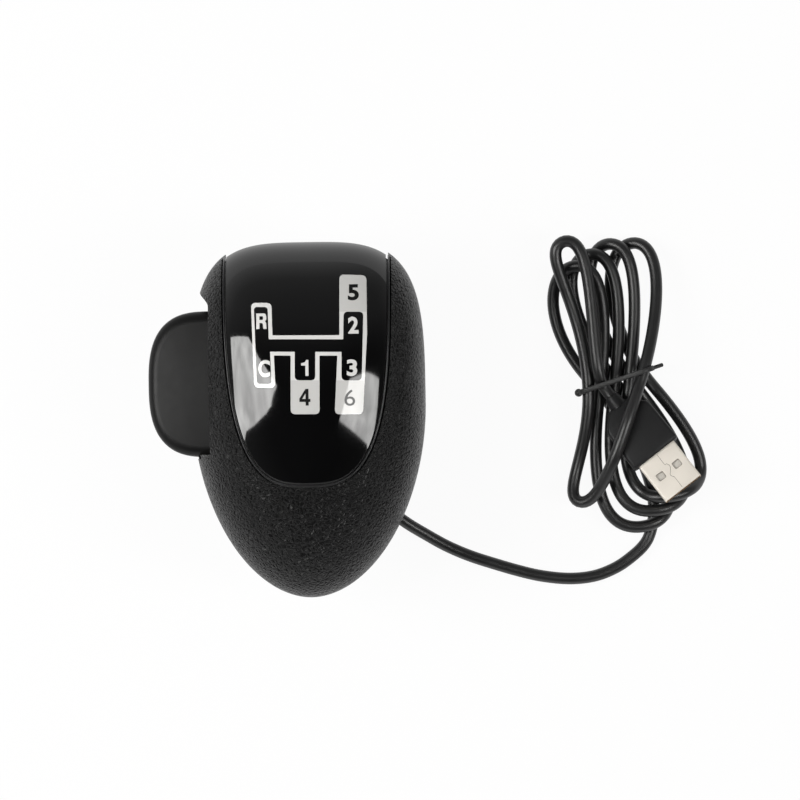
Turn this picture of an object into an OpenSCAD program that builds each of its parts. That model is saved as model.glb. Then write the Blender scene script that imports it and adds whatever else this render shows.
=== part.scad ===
// Gear-shift knob for a driving rig: grained egg-shaped grip, gloss gear plate, side splitter paddle,
// front range lever and a USB lead in a tied hank. Millimetres. Z up, +Y to the knob's front,
// origin on the lever bore's axis at the collar's foot.

/* [Head] */
// greatest width of the grip
head_w = 62.6; // [50:0.2:80]
// length of the grip ahead of its widest line
nose_l = 44.4; // [36:0.2:56]
// length of the grip behind its widest line
heel_l = 51.6; // [40:0.2:64]
// where the widest line lies along the knob
head_y = 3.8; // [-4:0.2:12]
// height of the widest line
head_z = 40; // [34:1:50]
// rise of the top above the widest line
top_h = 30; // [22:1:40]
// drop of the underside below the widest line
under_h = 28; // [22:1:34]
// squareness of the nose in plan
nose_n = 3.6; // [2:0.1:5]
// squareness of the heel in plan
heel_n = 1.92; // [1.6:0.02:3]
// squareness of the top's section at the nose
top_nose_m = 2.8; // [2:0.1:4]
// squareness of the top's section at the heel
top_heel_m = 2.2; // [1.8:0.1:3]
// squareness of the underside's section
under_m = 2.2; // [1.8:0.1:3]
// thickness of the grip's wall
wall = 3.2; // [2.4:0.1:4]
// height of the seam between the two shells
seam_z = 33; // [30:0.5:33]

/* [Neck] */
// outer radius of the collar
neck_r = 17.5; // [16:0.1:20]
// inner radius of the collar
neck_in_r = 14.3; // [13.5:0.1:15]
// height of the seat that carries the core frame
seat_z = 18; // [16:0.5:20]

/* [Recesses] */
// side recess plane, measured left of the axis
side_x = 26.2; // [24:0.1:28]
// rear end of the side recess
side_y0 = -9.0; // [-12:0.1:-8]
// front end of the side recess
side_y1 = 34.8; // [33:0.2:36]
// front recess plane
front_y = 38; // [36:0.2:40]
// half width of the front recess
front_hw = 21.8; // [19:0.2:22]
// height of the front lip's edge
lip_z = 50; // [47:0.5:54]
// thickness of the walls behind the recesses
recess_wall = 2.5; // [2:0.1:3]

/* [Panel] */
// half width of the panel at the front
panel_hw = 22.5; // [18:0.1:26]
// length of the panel's curved end
panel_l = 61; // [50:0.5:70]
// where the panel's straight sides begin
panel_y = 43; // [36:0.5:46]
// squareness of the panel's end
panel_n = 3.1; // [2:0.1:4]
// thickness of the tray under the plate
tray_t = 2.0; // [1.6:0.1:2.4]
// thickness of the gear plate
plate_t = 1.2; // [0.8:0.1:1.4]
// width of the rim round the plate
rim_w = 1.0; // [0.6:0.1:2]

/* [Splitter paddle] */
// pivot axis left of the lever axis
split_x = 18; // [17:0.1:19]
// pivot height
split_z = 44; // [43:0.2:45]
// half of the paddle's travel, degrees
split_tilt = 7; // [4:0.5:8]
// middle of the paddle along the knob
pad_y = 9.8; // [8:0.1:11]
// half length of the paddle
pad_hl = 19.5; // [16:0.1:19.6]
// reach of the paddle's curved end
pad_reach = 16.3; // [12:0.1:20]
// thickness of the paddle
pad_t = 10; // [8:0.2:10.4]
// rounding of the paddle's edge
pad_round = 3; // [1:0.2:4]

/* [Range lever] */
// pivot axis ahead of the lever axis
range_y = 29; // [28:0.1:30]
// pivot height
range_z = 40; // [39.5:0.1:40.5]
// half of the lever's travel, degrees
range_tilt = 5; // [3:0.5:6]
// half width of the lever
flap_hw = 18; // [15:0.1:18.4]
// reach of the lever's curved edge ahead of the recess plane
flap_reach = 7.4; // [5:0.1:8]
// thickness of the lever
flap_t = 9; // [7:0.2:9.4]

/* [Lever sleeve] */
// bore radius for a 12 mm lever
bore_r = 6.1; // [5:0.05:6.4]
// bore depth
bore_l = 34; // [24:1:34]
// outer radius
sleeve_r = 10; // [9:0.1:10]

/* [Fits] */
// gap between fixed parts
fit = 0.1; // [0.05:0.05:0.2]
// radius of the pivot pins
pin_r = 1.5; // [1.2:0.1:1.8]
// radial running clearance on a pivot pin
run_fit = 0.06; // [0.02:0.01:0.1]

/* [Board] */
// underside of the circuit board
board_z = 57; // [56:0.5:57]
// thickness of the circuit board
board_t = 1.6; // [1:0.1:2]
// length of a slide-switch case
case_l = 8.6; // [8:0.1:10]
// width of a slide-switch case
case_w = 4.6; // [4:0.1:6]
// height of a slide-switch case
case_h = 3.6; // [3:0.1:4]

/* [Cable and plug] */
// radius of the cable's jacket
cable_r = 1.65; // [1.4:0.05:1.7]
// width of the tie round the hank
tie_w = 1.6; // [1:0.1:3]
// thickness of the tie
tie_t = 0.6; // [0.5:0.1:0.6]
// width of the plug's metal shell
shell_w = 12; // [11.9:0.05:12.1]
// height of the plug's metal shell
shell_h = 4.5; // [4.4:0.05:4.6]
// length of the plug's metal shell
shell_l = 12; // [11:0.25:13]
// wall of the plug's metal shell
shell_t = 0.35; // [0.25:0.05:0.4]
// width of the moulded plug body
plug_w = 15; // [13:0.5:17]
// thickness of the moulded plug body
plug_h = 7; // [6:0.25:7.5]

/* [Hidden] */
$fn = 48;

head_steps = 44;
head_rings = 17;
// how far the side recess bows out at its front end, and over what length
recess_bow = [2.6, 4.5];
inner_x = side_x - recess_wall;
inner_y = front_y - recess_wall;
case_z = board_z - case_h;
knob_z = case_z - 2.8;
fork_z = case_z - 0.8;
split_arm = (knob_z + fork_z) / 2 - split_z;
range_arm = (knob_z + fork_z) / 2 - range_z;
split_rest = split_arm * split_tilt * PI / 180;
range_rest = range_arm * range_tilt * PI / 180;
lead_az = -50;
lead_z = 6;
boss_front = [19, 31.3];
boss_rear = [17.5, -24];
rib_x = head_w / 2 - 3.8;
// foot of the ring under the seat, where the flare is already wider than the ring
ring_z = 13.6;
seat_screw_r = 15.8;
flange_r = 17.4;
posts = [[15.5, 17], [15.5, -4], [-10, -14.5]];

function mix(a, b, t) = a + (b - a) * t;

// distance from the head's middle to its outline in plan, at angle t, with the outline d inside
function plan_r(t, d) =
    let(nose = sin(t) >= 0,
        n = nose ? nose_n : heel_n,
        l = (nose ? nose_l : heel_l) - d,
        w = head_w / 2 - d)
    pow(pow(abs(cos(t)) / w, n) + pow(abs(sin(t)) / l, n), -1 / n);

// point of the head's surface at plan angle t and elevation p, with the surface d inside
function head_point(t, p, d) =
    let(m = p >= 0 ? mix(top_heel_m, top_nose_m, (1 + sin(t)) / 2) : under_m,
        k = pow(pow(cos(p), m) + pow(abs(sin(p)), m), 1 / m),
        r = plan_r(t, d) * cos(p) / k,
        h = (p >= 0 ? top_h : under_h) - d)
    [r * cos(t), head_y + r * sin(t), head_z + h * sin(p) / k];

// the whole egg, d inside the outer surface
module head(d) {
    n = head_steps;
    rings = [for (i = [0 : head_rings - 1]) 90 * (2 * (i + 1) / (head_rings + 1) - 1)];
    pts = concat(
        [[0, head_y, head_z - under_h + d]],
        [for (p = rings) for (j = [0 : n - 1]) head_point(360 * j / n, p, d)],
        [[0, head_y, head_z + top_h - d]]);
    top = 1 + head_rings * n;
    base = 1 + (head_rings - 1) * n;
    faces = concat(
        [for (j = [0 : n - 1]) [0, 1 + j, 1 + (j + 1) % n]],
        [for (i = [0 : head_rings - 2]) for (j = [0 : n - 1])
            [1 + i * n + j, 1 + (i + 1) * n + j, 1 + (i + 1) * n + (j + 1) % n]],
        [for (i = [0 : head_rings - 2]) for (j = [0 : n - 1])
            [1 + i * n + j, 1 + (i + 1) * n + (j + 1) % n, 1 + i * n + (j + 1) % n]],
        [for (j = [0 : n - 1]) [top, base + (j + 1) % n, base + j]]);
    polyhedron(points = pts, faces = faces, convexity = 6);
}

// panel outline in plan, d inside; open to the front
module panel_outline(d) {
    w = panel_hw - d;
    l = panel_l - d;
    steps = 28;
    arc = [for (i = [0 : steps])
        let(t = 180 + 180 * i / steps,
            r = pow(pow(abs(cos(t)) / w, panel_n) + pow(abs(sin(t)) / l, panel_n), -1 / panel_n))
        [r * cos(t), panel_y + r * sin(t)]];
    polygon(concat(arc, [[w, panel_y + 20], [-w, panel_y + 20]]));
}

module panel_prism(d, z0) {
    translate([0, 0, z0])
        linear_extrude(height = 90 - z0)
            panel_outline(d);
}

module box(x0, x1, y0, y1, z0, z1) {
    translate([x0, y0, z0])
        cube([x1 - x0, y1 - y0, z1 - z0]);
}

// what the side and front recesses take out of both shells
module recesses() {
    bow = [for (i = [0 : 6]) [-side_x - recess_bow[0] * ease(i / 6), side_y1 - recess_bow[1] * (1 - i / 6)]];
    translate([0, 0, -1])
        linear_extrude(height = 91)
            polygon(concat([[-side_x - 30, side_y0], [-side_x, side_y0]], bow, [[-side_x - 30, side_y1]]));
    box(-front_hw, front_hw, front_y, front_y + 30, -1, lip_z);
}

// the hollow inside the shells, short of the walls behind the recesses
module cavity() {
    difference() {
        head(wall);
        box(-side_x - 30, -inner_x, side_y0 - recess_wall, side_y1 + recess_wall, -1, 90);
        box(-front_hw - recess_wall, front_hw + recess_wall, inner_y, front_y + 30, -1, lip_z + recess_wall);
    }
}

module at_az(az, r, z) {
    rotate([0, 0, az])
        translate([r, 0, z])
            rotate([0, 90, 0])
                children();
}

module upper_boss(x, y, top) {
    translate([x, y, seam_z])
        cylinder(r = 3.2, h = top - seam_z);
}

module lower_boss(x, y, z0) {
    translate([x, y, z0])
        cylinder(r = 3.9, h = seam_z - z0);
}

module boss_holes(x, y, head_base) {
    translate([x, y, head_base])
        cylinder(r = 1.7, h = 30);
    translate([x, y, -1])
        cylinder(r = 3.1, h = head_base + 1);
}

module grip_upper() {
    color([0.17, 0.17, 0.18])
    difference() {
        union() {
            difference() {
                head(0);
                cavity();
            }
            for (s = [-1, 1]) {
                upper_boss(s * boss_front[0], boss_front[1], 52);
                upper_boss(s * boss_rear[0], boss_rear[1], 54);
                box(min(s * boss_front[0], s * rib_x), max(s * boss_front[0], s * rib_x), 30.1, 32.5, seam_z, 50);
            }
        }
        recesses();
        box(-60, 60, -90, 90, -1, seam_z);
        difference() {
            panel_prism(-fit, lip_z - fit);
            head(tray_t);
        }
        panel_prism(2.5, lip_z + recess_wall + 3);
        box(-side_x - 5, -inner_x + 1, pad_y - pad_hl - 0.5, pad_y + pad_hl + 0.5,
            split_z - pad_t / 2 - 1.4, split_z + pad_t / 2 + 1.4);
        box(-flap_hw - 0.5, flap_hw + 0.5, inner_y - 1, front_y + 5,
            range_z - flap_t / 2 - 1.1, range_z + flap_t / 2 + 1.1);
        for (s = [-1, 1]) {
            translate([s * boss_front[0], boss_front[1], seam_z - 1])
                cylinder(r = 1.3, h = 13);
            translate([s * boss_rear[0], boss_rear[1], seam_z - 1])
                cylinder(r = 1.3, h = 13);
        }
    }
}

// collar with its flare up to the head
module neck_solid() {
    steps = 10;
    flare = [for (i = [0 : steps]) [17.3 + 7 * pow(i / steps, 2.2), 6 + 16 * i / steps]];
    rotate_extrude($fn = 64)
        polygon(concat([[0, 0], [neck_r - 0.6, 0], [neck_r, 0.6]], flare, [[0, 22]]));
}

module grip_lower() {
    color([0.17, 0.17, 0.18])
    difference() {
        union() {
            difference() {
                union() {
                    head(0);
                    neck_solid();
                }
                cavity();
            }
            difference() {
                translate([0, 0, ring_z])
                    cylinder(r = 18.5, h = seat_z - ring_z);
                translate([0, 0, ring_z - 1])
                    cylinder(r = neck_in_r, h = 30);
            }
            for (s = [-1, 1]) {
                lower_boss(s * boss_front[0], boss_front[1], 23);
                lower_boss(s * boss_rear[0], boss_rear[1], 23);
            }
        }
        recesses();
        box(-60, 60, -90, 90, seam_z, 90);
        translate([0, 0, -1])
            cylinder(r = neck_in_r, h = 30);
        translate([0, 0, seat_z])
            cylinder(r = flange_r + 0.2, h = 9);
        for (s = [-1, 1]) {
            boss_holes(s * boss_front[0], boss_front[1], 27);
            boss_holes(s * boss_rear[0], boss_rear[1], 27);
        }
        at_az(lead_az, neck_in_r - 3, lead_z)
            cylinder(r = 3.3, h = 10);
        for (az = [20, 140, 260])
            at_az(az, neck_in_r - 2, 9)
                cylinder(r = 2.3, h = 10);
        for (az = [100, 220, 340])
            rotate([0, 0, az])
                translate([seat_screw_r, 0, 10])
                    cylinder(r = 1.0 + fit, h = 10);
    }
}

module pan_screw(r, l, hr, hh) {
    translate([0, 0, -l])
        cylinder(r = r, h = l + 0.5);
    difference() {
        cylinder(r = hr, h = hh);
        translate([0, 0, hh - 0.8])
            cylinder(r = hr * 0.5, h = 2, $fn = 6);
    }
}

module housing_screws() {
    color([0.5, 0.5, 0.52])
    for (s = [-1, 1])
        for (p = [boss_front, boss_rear])
            translate([s * p[0], p[1], 27])
                rotate([180, 0, 0])
                    pan_screw(1.2, 15, 2.8, 2.2);
}

module panel_tray() {
    color([0.08, 0.08, 0.09])
    difference() {
        intersection() {
            head(0);
            panel_prism(0, lip_z);
        }
        head(tray_t);
        difference() {
            panel_prism(rim_w, lip_z + 1.2);
            head(plate_t);
        }
    }
}

module gear_plate() {
    color([0.05, 0.05, 0.055])
    difference() {
        intersection() {
            head(0);
            panel_prism(rim_w + fit, lip_z + 1.2 + fit);
        }
        head(plate_t);
    }
}

module core_frame() {
    color([0.3, 0.31, 0.33])
    difference() {
        union() {
            translate([0, 0, seat_z])
                cylinder(r = flange_r, h = 2.5);
            translate([0, 0, seat_z])
                cylinder(r = 12.5, h = 19);
            box(-21.6, 18.6, -9, 25.1, 26.5, 29);
            box(-15, 15, 20, 33.5, 26.5, 29);
            box(-14, -6, -18, -8, 26.5, 29);
            for (y = [-5.6, 22.8])
                box(-21.6, -14.2, y, y + 2.3, 28, 47.5);
            for (x = [-15, 12.5])
                box(x, x + 2.5, 25.3, 32.7, 28, 43.5);
            for (p = posts)
                translate([p[0], p[1], 28])
                    cylinder(r = 3, h = board_z - 28);
        }
        translate([0, 0, seat_z - 1])
            cylinder(r = sleeve_r + fit, h = 30);
        translate([-split_x, -20, split_z])
            rotate([-90, 0, 0])
                cylinder(r = pin_r, h = 60);
        translate([-30, range_y, range_z])
            rotate([0, 90, 0])
                cylinder(r = pin_r, h = 60);
        for (p = posts)
            translate([p[0], p[1], board_z - 8])
                cylinder(r = 0.9 + fit, h = 10);
        for (az = [100, 220, 340])
            rotate([0, 0, az])
                translate([seat_screw_r, 0, 10])
                    cylinder(r = 1.2, h = 16);
        rotate([0, 0, lead_az])
            box(8, 20, -1.9, 1.9, seat_z - 1, 29.5);
    }
}

module frame_screws() {
    color([0.5, 0.5, 0.52])
    for (az = [100, 220, 340])
        rotate([0, 0, az])
            translate([seat_screw_r, 0, seat_z + 2.5])
                pan_screw(1.0, 8, 1.6, 1.4);
}

module lever_sleeve() {
    color([0.72, 0.72, 0.74])
    difference() {
        cylinder(r = sleeve_r, h = bore_l + 3);
        translate([0, 0, -1])
            cylinder(r = bore_r, h = bore_l + 1);
        for (az = [20, 140, 260])
            at_az(az, 3, 9)
                cylinder(r = 2 + fit / 2, h = 10);
    }
}

module clamp_screws() {
    color([0.25, 0.25, 0.27])
    for (az = [20, 140, 260])
        at_az(az, bore_r + 0.5, 9)
            difference() {
                cylinder(r = 2, h = 6);
                translate([0, 0, 3.5])
                    cylinder(r = 1.15, h = 4, $fn = 6);
            }
}

module splitter_pin() {
    color([0.7, 0.7, 0.72])
    translate([-split_x, -6, split_z])
        rotate([-90, 0, 0])
            cylinder(r = pin_r, h = 31.5);
}

module range_pin() {
    color([0.7, 0.7, 0.72])
    translate([-15.4, range_y, range_z])
        rotate([0, 90, 0])
            cylinder(r = pin_r, h = 30.8);
}

module circuit_board() {
    color([0.08, 0.3, 0.16])
    difference() {
        translate([0, 0, board_z])
            linear_extrude(height = board_t)
                polygon([[-21.5, -6], [-16, -18], [16, -18], [19, -8], [19, 22], [9, 24], [9, 34], [-9, 34],
                    [-9, 24], [-21.5, 22]]);
        for (p = posts)
            translate([p[0], p[1], board_z - 1])
                cylinder(r = 1.2, h = 5);
    }
}

module controller_chip() {
    color([0.06, 0.06, 0.07])
    box(-5, 5, -3, 7, board_z + board_t, board_z + board_t + 1.2);
}

module lead_connector() {
    color([0.85, 0.84, 0.8])
    difference() {
        box(4, 12, -15.5, -10.5, board_z - 4.5, board_z);
        box(5, 11, -14.5, -11.5, board_z - 5, board_z - 1.5);
    }
}

module board_screws() {
    color([0.5, 0.5, 0.52])
    for (p = posts)
        translate([p[0], p[1], board_z + board_t])
            pan_screw(0.9, 7, 1.9, 1.5);
}

// slide-switch case, its slider moving along X, with its top on z = 0
module switch_case() {
    difference() {
        box(-case_l / 2, case_l / 2, -case_w / 2, case_w / 2, -case_h, 0);
        box(-case_l / 2 + 0.5, case_l / 2 - 0.5, -case_w / 2 + 0.5, case_w / 2 - 0.5, -case_h + 0.8, -0.6);
        box(-2.5, 2.5, -1, 1, -case_h - 1, -case_h + 1);
    }
}

// the slider of that case, at the middle of its travel
module switch_slider() {
    box(-2.4, 2.4, -1.6, 1.6, -case_h + 1.0, -0.8);
    box(-1, 1, -0.75, 0.75, -case_h - 2.8, -case_h + 1.2);
}

module splitter_case() {
    color([0.2, 0.2, 0.22])
    translate([-split_x, pad_y, board_z])
        switch_case();
}

module range_case() {
    color([0.2, 0.2, 0.22])
    translate([0, range_y, board_z])
        rotate([0, 0, 90])
            switch_case();
}

module splitter_slider() {
    color([0.9, 0.9, 0.88])
    translate([-split_x - split_rest, pad_y, board_z])
        switch_slider();
}

module range_slider() {
    color([0.9, 0.9, 0.88])
    translate([0, range_y + range_rest, board_z])
        rotate([0, 0, 90])
            switch_slider();
}

// half of a rounded plan, d inside: curved end towards -X, straight root to x = root
module end_plan(hw, reach, root, n, d) {
    steps = 24;
    arc = [for (i = [0 : steps])
        let(t = 90 + 180 * i / steps,
            w = hw - d,
            l = reach - d,
            r = pow(pow(abs(cos(t)) / l, n) + pow(abs(sin(t)) / w, n), -1 / n))
        [r * cos(t), r * sin(t)]];
    polygon(concat(arc, [[root, -hw + d], [root, hw - d]]));
}

// that plan as a slab with a rounded edge
module end_slab(hw, reach, root, n, t, round) {
    hull()
        for (s = [-1, 1])
            for (a = [0, 30, 60, 90])
                translate([0, 0, s * (t / 2 - round + round * sin(a)) - 0.01])
                    linear_extrude(height = 0.02)
                        end_plan(hw, reach, root, n, round * (1 - cos(a)));
}

// fork that straddles a slider's knob, its arm standing on the pivot
module fork(arm_top, knob_low) {
    difference() {
        box(-2.9, 2.9, -2.5, 2.5, 0, arm_top);
        box(-1.3, 1.3, -4, 4, knob_low - 0.4, arm_top + 5);
    }
}

module splitter_paddle() {
    color([0.2, 0.2, 0.21])
    translate([-split_x, pad_y, split_z])
        rotate([0, -split_tilt, 0])
            difference() {
                union() {
                    translate([split_x - 26.5, 0, 0])
                        end_slab(pad_hl, pad_reach, 26.5 - inner_x + 0.4, 2.75, pad_t, pad_round);
                    box(split_x - inner_x - 0.5, 0, -12.2, 12.2, -3.8, 3.8);
                    rotate([90, 0, 0])
                        cylinder(r = 4.4, h = 25, center = true);
                    fork(fork_z - split_z, knob_z - split_z);
                }
                rotate([90, 0, 0])
                    cylinder(r = pin_r + run_fit, h = 60, center = true);
            }
}

module range_lever() {
    color([0.2, 0.2, 0.21])
    translate([0, range_y, range_z])
        rotate([-range_tilt, 0, 0])
            difference() {
                union() {
                    translate([0, front_y - range_y, 0])
                        rotate([0, 0, -90])
                            end_slab(flap_hw, flap_reach, recess_wall + 0.6, 4, flap_t, 2.4);
                    box(-11.8, 11.8, 0, inner_y - range_y + 0.3, -3.4, 3.4);
                    rotate([0, 90, 0])
                        cylinder(r = 4.2, h = 24.2, center = true);
                    rotate([0, 0, 90])
                        fork(fork_z - range_z, knob_z - range_z);
                }
                rotate([0, 90, 0])
                    cylinder(r = pin_r + run_fit, h = 60, center = true);
            }
}

function unit(v) = v / norm(v);

// closed tube of triangles through a list of points, sides round it
module tube(path, r, sides) {
    n = len(path);
    dirs = [for (i = [0 : n - 1]) unit(path[min(i + 1, n - 1)] - path[max(i - 1, 0)])];
    ups = [for (i = 0, u = unit(cross(dirs[0], [0.13, 0.29, 0.95])); i < n;
        i = i + 1, u = i < n ? unit(u - (u * dirs[i]) * dirs[i]) : u) u];
    pts = concat(
        [for (i = [0 : n - 1]) for (j = [0 : sides - 1])
            let(v = cross(dirs[i], ups[i]), a = 360 * j / sides)
            path[i] + r * (cos(a) * ups[i] + sin(a) * v)],
        [path[0], path[n - 1]]);
    faces = concat(
        [for (i = [0 : n - 2]) for (j = [0 : sides - 1])
            [i * sides + j, (i + 1) * sides + j, (i + 1) * sides + (j + 1) % sides]],
        [for (i = [0 : n - 2]) for (j = [0 : sides - 1])
            [i * sides + j, (i + 1) * sides + (j + 1) % sides, i * sides + (j + 1) % sides]],
        [for (j = [0 : sides - 1]) [n * sides, j, (j + 1) % sides]],
        [for (j = [0 : sides - 1]) [n * sides + 1, (n - 1) * sides + (j + 1) % sides, (n - 1) * sides + j]]);
    polyhedron(points = pts, faces = faces, convexity = 10);
}

function az_point(r, z) = [r * cos(lead_az), r * sin(lead_az), z];

module inner_lead() {
    color([0.12, 0.12, 0.13])
    tube([az_point(16, lead_z), az_point(13.6, lead_z), az_point(11.9, 7), az_point(11.3, 9.5), az_point(11.3, 14),
        az_point(11.6, 19), az_point(12.6, 24), [8.2, -12.2, 30], [8, -13, 37], [8, -13, 45], [8, -13, 51],
        [8, -13, 55]], 1.1, 8);
}

module lead_grommet() {
    color([0.1, 0.1, 0.11])
    at_az(lead_az, 0, lead_z)
        difference() {
            union() {
                translate([0, 0, 12.6])
                    cylinder(r = 4, h = 1.0);
                translate([0, 0, 12.6])
                    cylinder(r = 3.2, h = 7);
                translate([0, 0, 17.8])
                    cylinder(r = 4.2, h = 1.4);
                translate([0, 0, 19])
                    cylinder(r1 = 3.2, r2 = 2.5, h = 12);
            }
            translate([0, 0, 12])
                cylinder(r = 1.1 + fit, h = 5);
            translate([0, 0, 12.4])
                cylinder(r1 = 2.4, r2 = 1.1 + fit, h = 1.4);
            translate([0, 0, 16.2])
                cylinder(r = cable_r + fit, h = 16);
        }
}

// the free lead: straight out of the grommet, down to the ground and along it to the hank
lead_route = [az_point(16.4, lead_z), az_point(24, lead_z), az_point(31, lead_z), [22.4, -26.4, 5.9],
    [26, -29.2, 5.1], [31.5, -32.6, 3.2], [36.7, -35.6, 2.1], [43, -38.4, 1.7], [49.8, -40.7, 1.7],
    [56.7, -42.8, 1.7], [63, -44.3, 1.7], [70.6, -45.1, 1.7], [77.6, -44.4, 1.7], [83.5, -42.1, 1.7],
    [87.2, -39.6, 1.7], [90.3, -37, 1.7], [92.2, -34.5, 1.7], [93.2, -31.4, 1.7]];

// the hank is folded in lobes that cross at a tied waist; rising strands lie low and falling ones high
hank_at = [84.8, 7.5];
low = 1.7;
high = 5.8;
tie_lift = 1.5;
tie_az = 17.7;
tie_v = 2.2;
lobe_rings = 24;

// each crossing of the waist: place across it, height and heading
waists = [[-6.2, low, 135], [-5.4, high, -98], [-0.2, low, 127], [-1.5, high, -98], [4.6, low, 128],
    [2.4, high, -98], [9.4, low, 130], [4.8, 13.6, -110], [-8.8, 9, 92], [-4.6, 9.8, -53]];

// each lobe: its tip across and along, the heading there, the four handles of its curve, and heights
// along it, from 0 at one crossing of the waist over 1 at the tip to 2 at the next crossing
lobes = [
    [-12.4, 33.4, 14, 20, 8.5, 8.5, 20, [[0.7, low], [1, 8.3], [1.2, 8.3], [1.7, high]]],
    [4.6, -38.6, 3, 22, 12, 14, 27, [[1.14, high], [1.4, low]]],
    [-8, 36.6, 12, 22, 8.5, 9, 20, [[0.78, low], [1.05, 7], [1.6, high]]],
    [8.6, -34.2, 5, 20, 12, 13, 28, [[0.7, high], [1, 8.4], [1.12, 8.4], [1.46, low]]],
    [-2.6, 39.4, 8, 22, 8.5, 9, 20, [[0.84, low], [1.07, 6.8], [1.6, high]]],
    [12.4, -30.4, 7, 18, 12, 11, 30, [[0.7, high], [1, 10.9], [1.12, 10.9], [1.5, low]]],
    [4.2, 39.6, 5, 22, 9, 9, 20, [[0.88, low], [1.16, 6.2], [1.5, 7.2]]],
    [-11.4, -31.6, 165, 12, 6, 6, 18,
        [[0.1, 15.2], [0.26, 17.2], [0.42, 17.4], [0.85, 10], [1.3, 5.6], [1.5, 5.6], [1.85, 9]]],
    [-15, 40.2, 18, 24, 8, 10, 7, [[0.3, 9], [0.8, 12.6], [1.78, 12.6]]]];

// the run from the lead's end to the first crossing: heading and handle at its start and at its end
run_in = [72, 8, 128, 22];
run_rings = 12;

function dir(a) = [cos(a), sin(a)];
function ease(t) = t * t * (3 - 2 * t);
function bezier(p, t) = pow(1 - t, 3) * p[0] + 3 * t * pow(1 - t, 2) * p[1] + 3 * t * t * (1 - t) * p[2]
    + pow(t, 3) * p[3];

// height at share t, eased from each listed height to the next
function height(steps, t, i = 0) =
    let(a = steps[i], b = steps[i + 1])
    t <= b[0] || i + 2 == len(steps)
        ? mix(a[1], b[1], ease((t - a[0]) / (b[0] - a[0])))
        : height(steps, t, i + 1);

// rise over the tie at share s of the way from the waist to where the strand lies flat
function lift(s) = s < 1 ? tie_lift * pow(1 - s * s, 2) : 0;

function lobe_point(k, t) =
    let(a = waists[k],
        b = waists[k + 1],
        l = lobes[k],
        tip = [l[0], l[1]],
        from = [a[0], 0],
        to = [b[0], 0],
        arc = t < 1
            ? [from, from + l[3] * dir(a[2]), tip - l[4] * dir(l[2]), tip]
            : [tip, tip + l[5] * dir(l[2]), to - l[6] * dir(b[2]), to],
        xy = hank_at + bezier(arc, t < 1 ? t : t - 1),
        steps = concat([[0, a[1]]], l[7], [[2, b[1]]]))
    [xy[0], xy[1], height(steps, t) + lift(min(t, 2 - t) / 0.5)];

function run_point(t) =
    let(end = lead_route[len(lead_route) - 1],
        from = [end[0], end[1]],
        to = hank_at + [waists[0][0], 0],
        xy = bezier([from, from + run_in[1] * dir(run_in[0]), to - run_in[3] * dir(run_in[2]), to], t))
    [xy[0], xy[1], low + lift((1 - t) / 0.35)];

// the plug lies on the hank, its axis from the last crossing of the waist, nose up
plug_az = -53;
plug_tilt = 7;
plug_root = lobe_point(len(lobes) - 1, 2);
cable_end = 2 * cable_r;
relief_l = 3.2;
body_l = 17;
shell_x = cable_end + relief_l + body_l;

function plug_point(x) = plug_root
    + x * [cos(plug_az) * cos(plug_tilt), sin(plug_az) * cos(plug_tilt), sin(plug_tilt)];

hank_route = concat(
    [for (i = [0 : run_rings - 1]) run_point(i / run_rings)],
    [for (k = [0 : len(lobes) - 1]) for (i = [0 : lobe_rings - 1]) lobe_point(k, 2 * i / lobe_rings)],
    [plug_root, plug_point(cable_end / 2), plug_point(cable_end)]);

// least distance between strands of the hank, on its points and the middles between them
function hank_gap() =
    let(n = len(hank_route),
        pts = [for (i = [0 : n - 2]) for (f = [0, 0.5]) mix(hank_route[i], hank_route[i + 1], f)],
        away = 9)
    min([for (i = [0 : len(pts) - away - 1]) for (j = [i + away : len(pts) - 1]) norm(pts[i] - pts[j])])
        - 2 * cable_r;

module cable_lead() {
    color([0.12, 0.12, 0.13])
    tube(lead_route, cable_r, 8);
}

module cable_hank() {
    color([0.12, 0.12, 0.13])
    tube(hank_route, cable_r, 6);
}

// where the strands pass the tie's upright plane: distance along it and height
function tie_off(p) = (p[1] - hank_at[1] - tie_v) * cos(tie_az) - (p[0] - hank_at[0]) * sin(tie_az);
function tie_along(p) = (p[1] - hank_at[1] - tie_v) * sin(tie_az) + (p[0] - hank_at[0]) * cos(tie_az);
tie_cuts = [for (i = [0 : len(hank_route) - 2])
    let(p = hank_route[i], q = hank_route[i + 1], a = tie_off(p), b = tie_off(q))
    if (a * b <= 0)
        let(c = mix(p, q, a / (a - b)))
        [tie_along(c), c[2]]];
tie_gap = 0.85;

module bundle(d) {
    hull()
        for (c = tie_cuts)
            translate(c)
                circle(r = cable_r + d);
}

module hank_tie() {
    left = min([for (c = tie_cuts) c[0]]) - cable_r - tie_gap - tie_t / 2;
    right = max([for (c = tie_cuts) c[0]]) + cable_r + tie_gap + tie_t / 2;
    color([0.1, 0.1, 0.11])
    translate([hank_at[0], hank_at[1] + tie_v, 0])
        rotate([90, 0, tie_az]) {
            linear_extrude(height = tie_w, center = true)
                difference() {
                    bundle(tie_gap + tie_t);
                    bundle(tie_gap);
                }
            translate([left, 10.5, 0])
                sphere(r = 1.3, $fn = 20);
            translate([right - 0.3, 14, 0])
                rotate([0, 90, 0])
                    cylinder(r1 = 0.8, r2 = 0.5, h = 3);
        }
}

module at_plug(x) {
    translate(plug_root)
        rotate([0, -plug_tilt, plug_az])
            translate([x, 0, 0])
                children();
}

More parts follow.
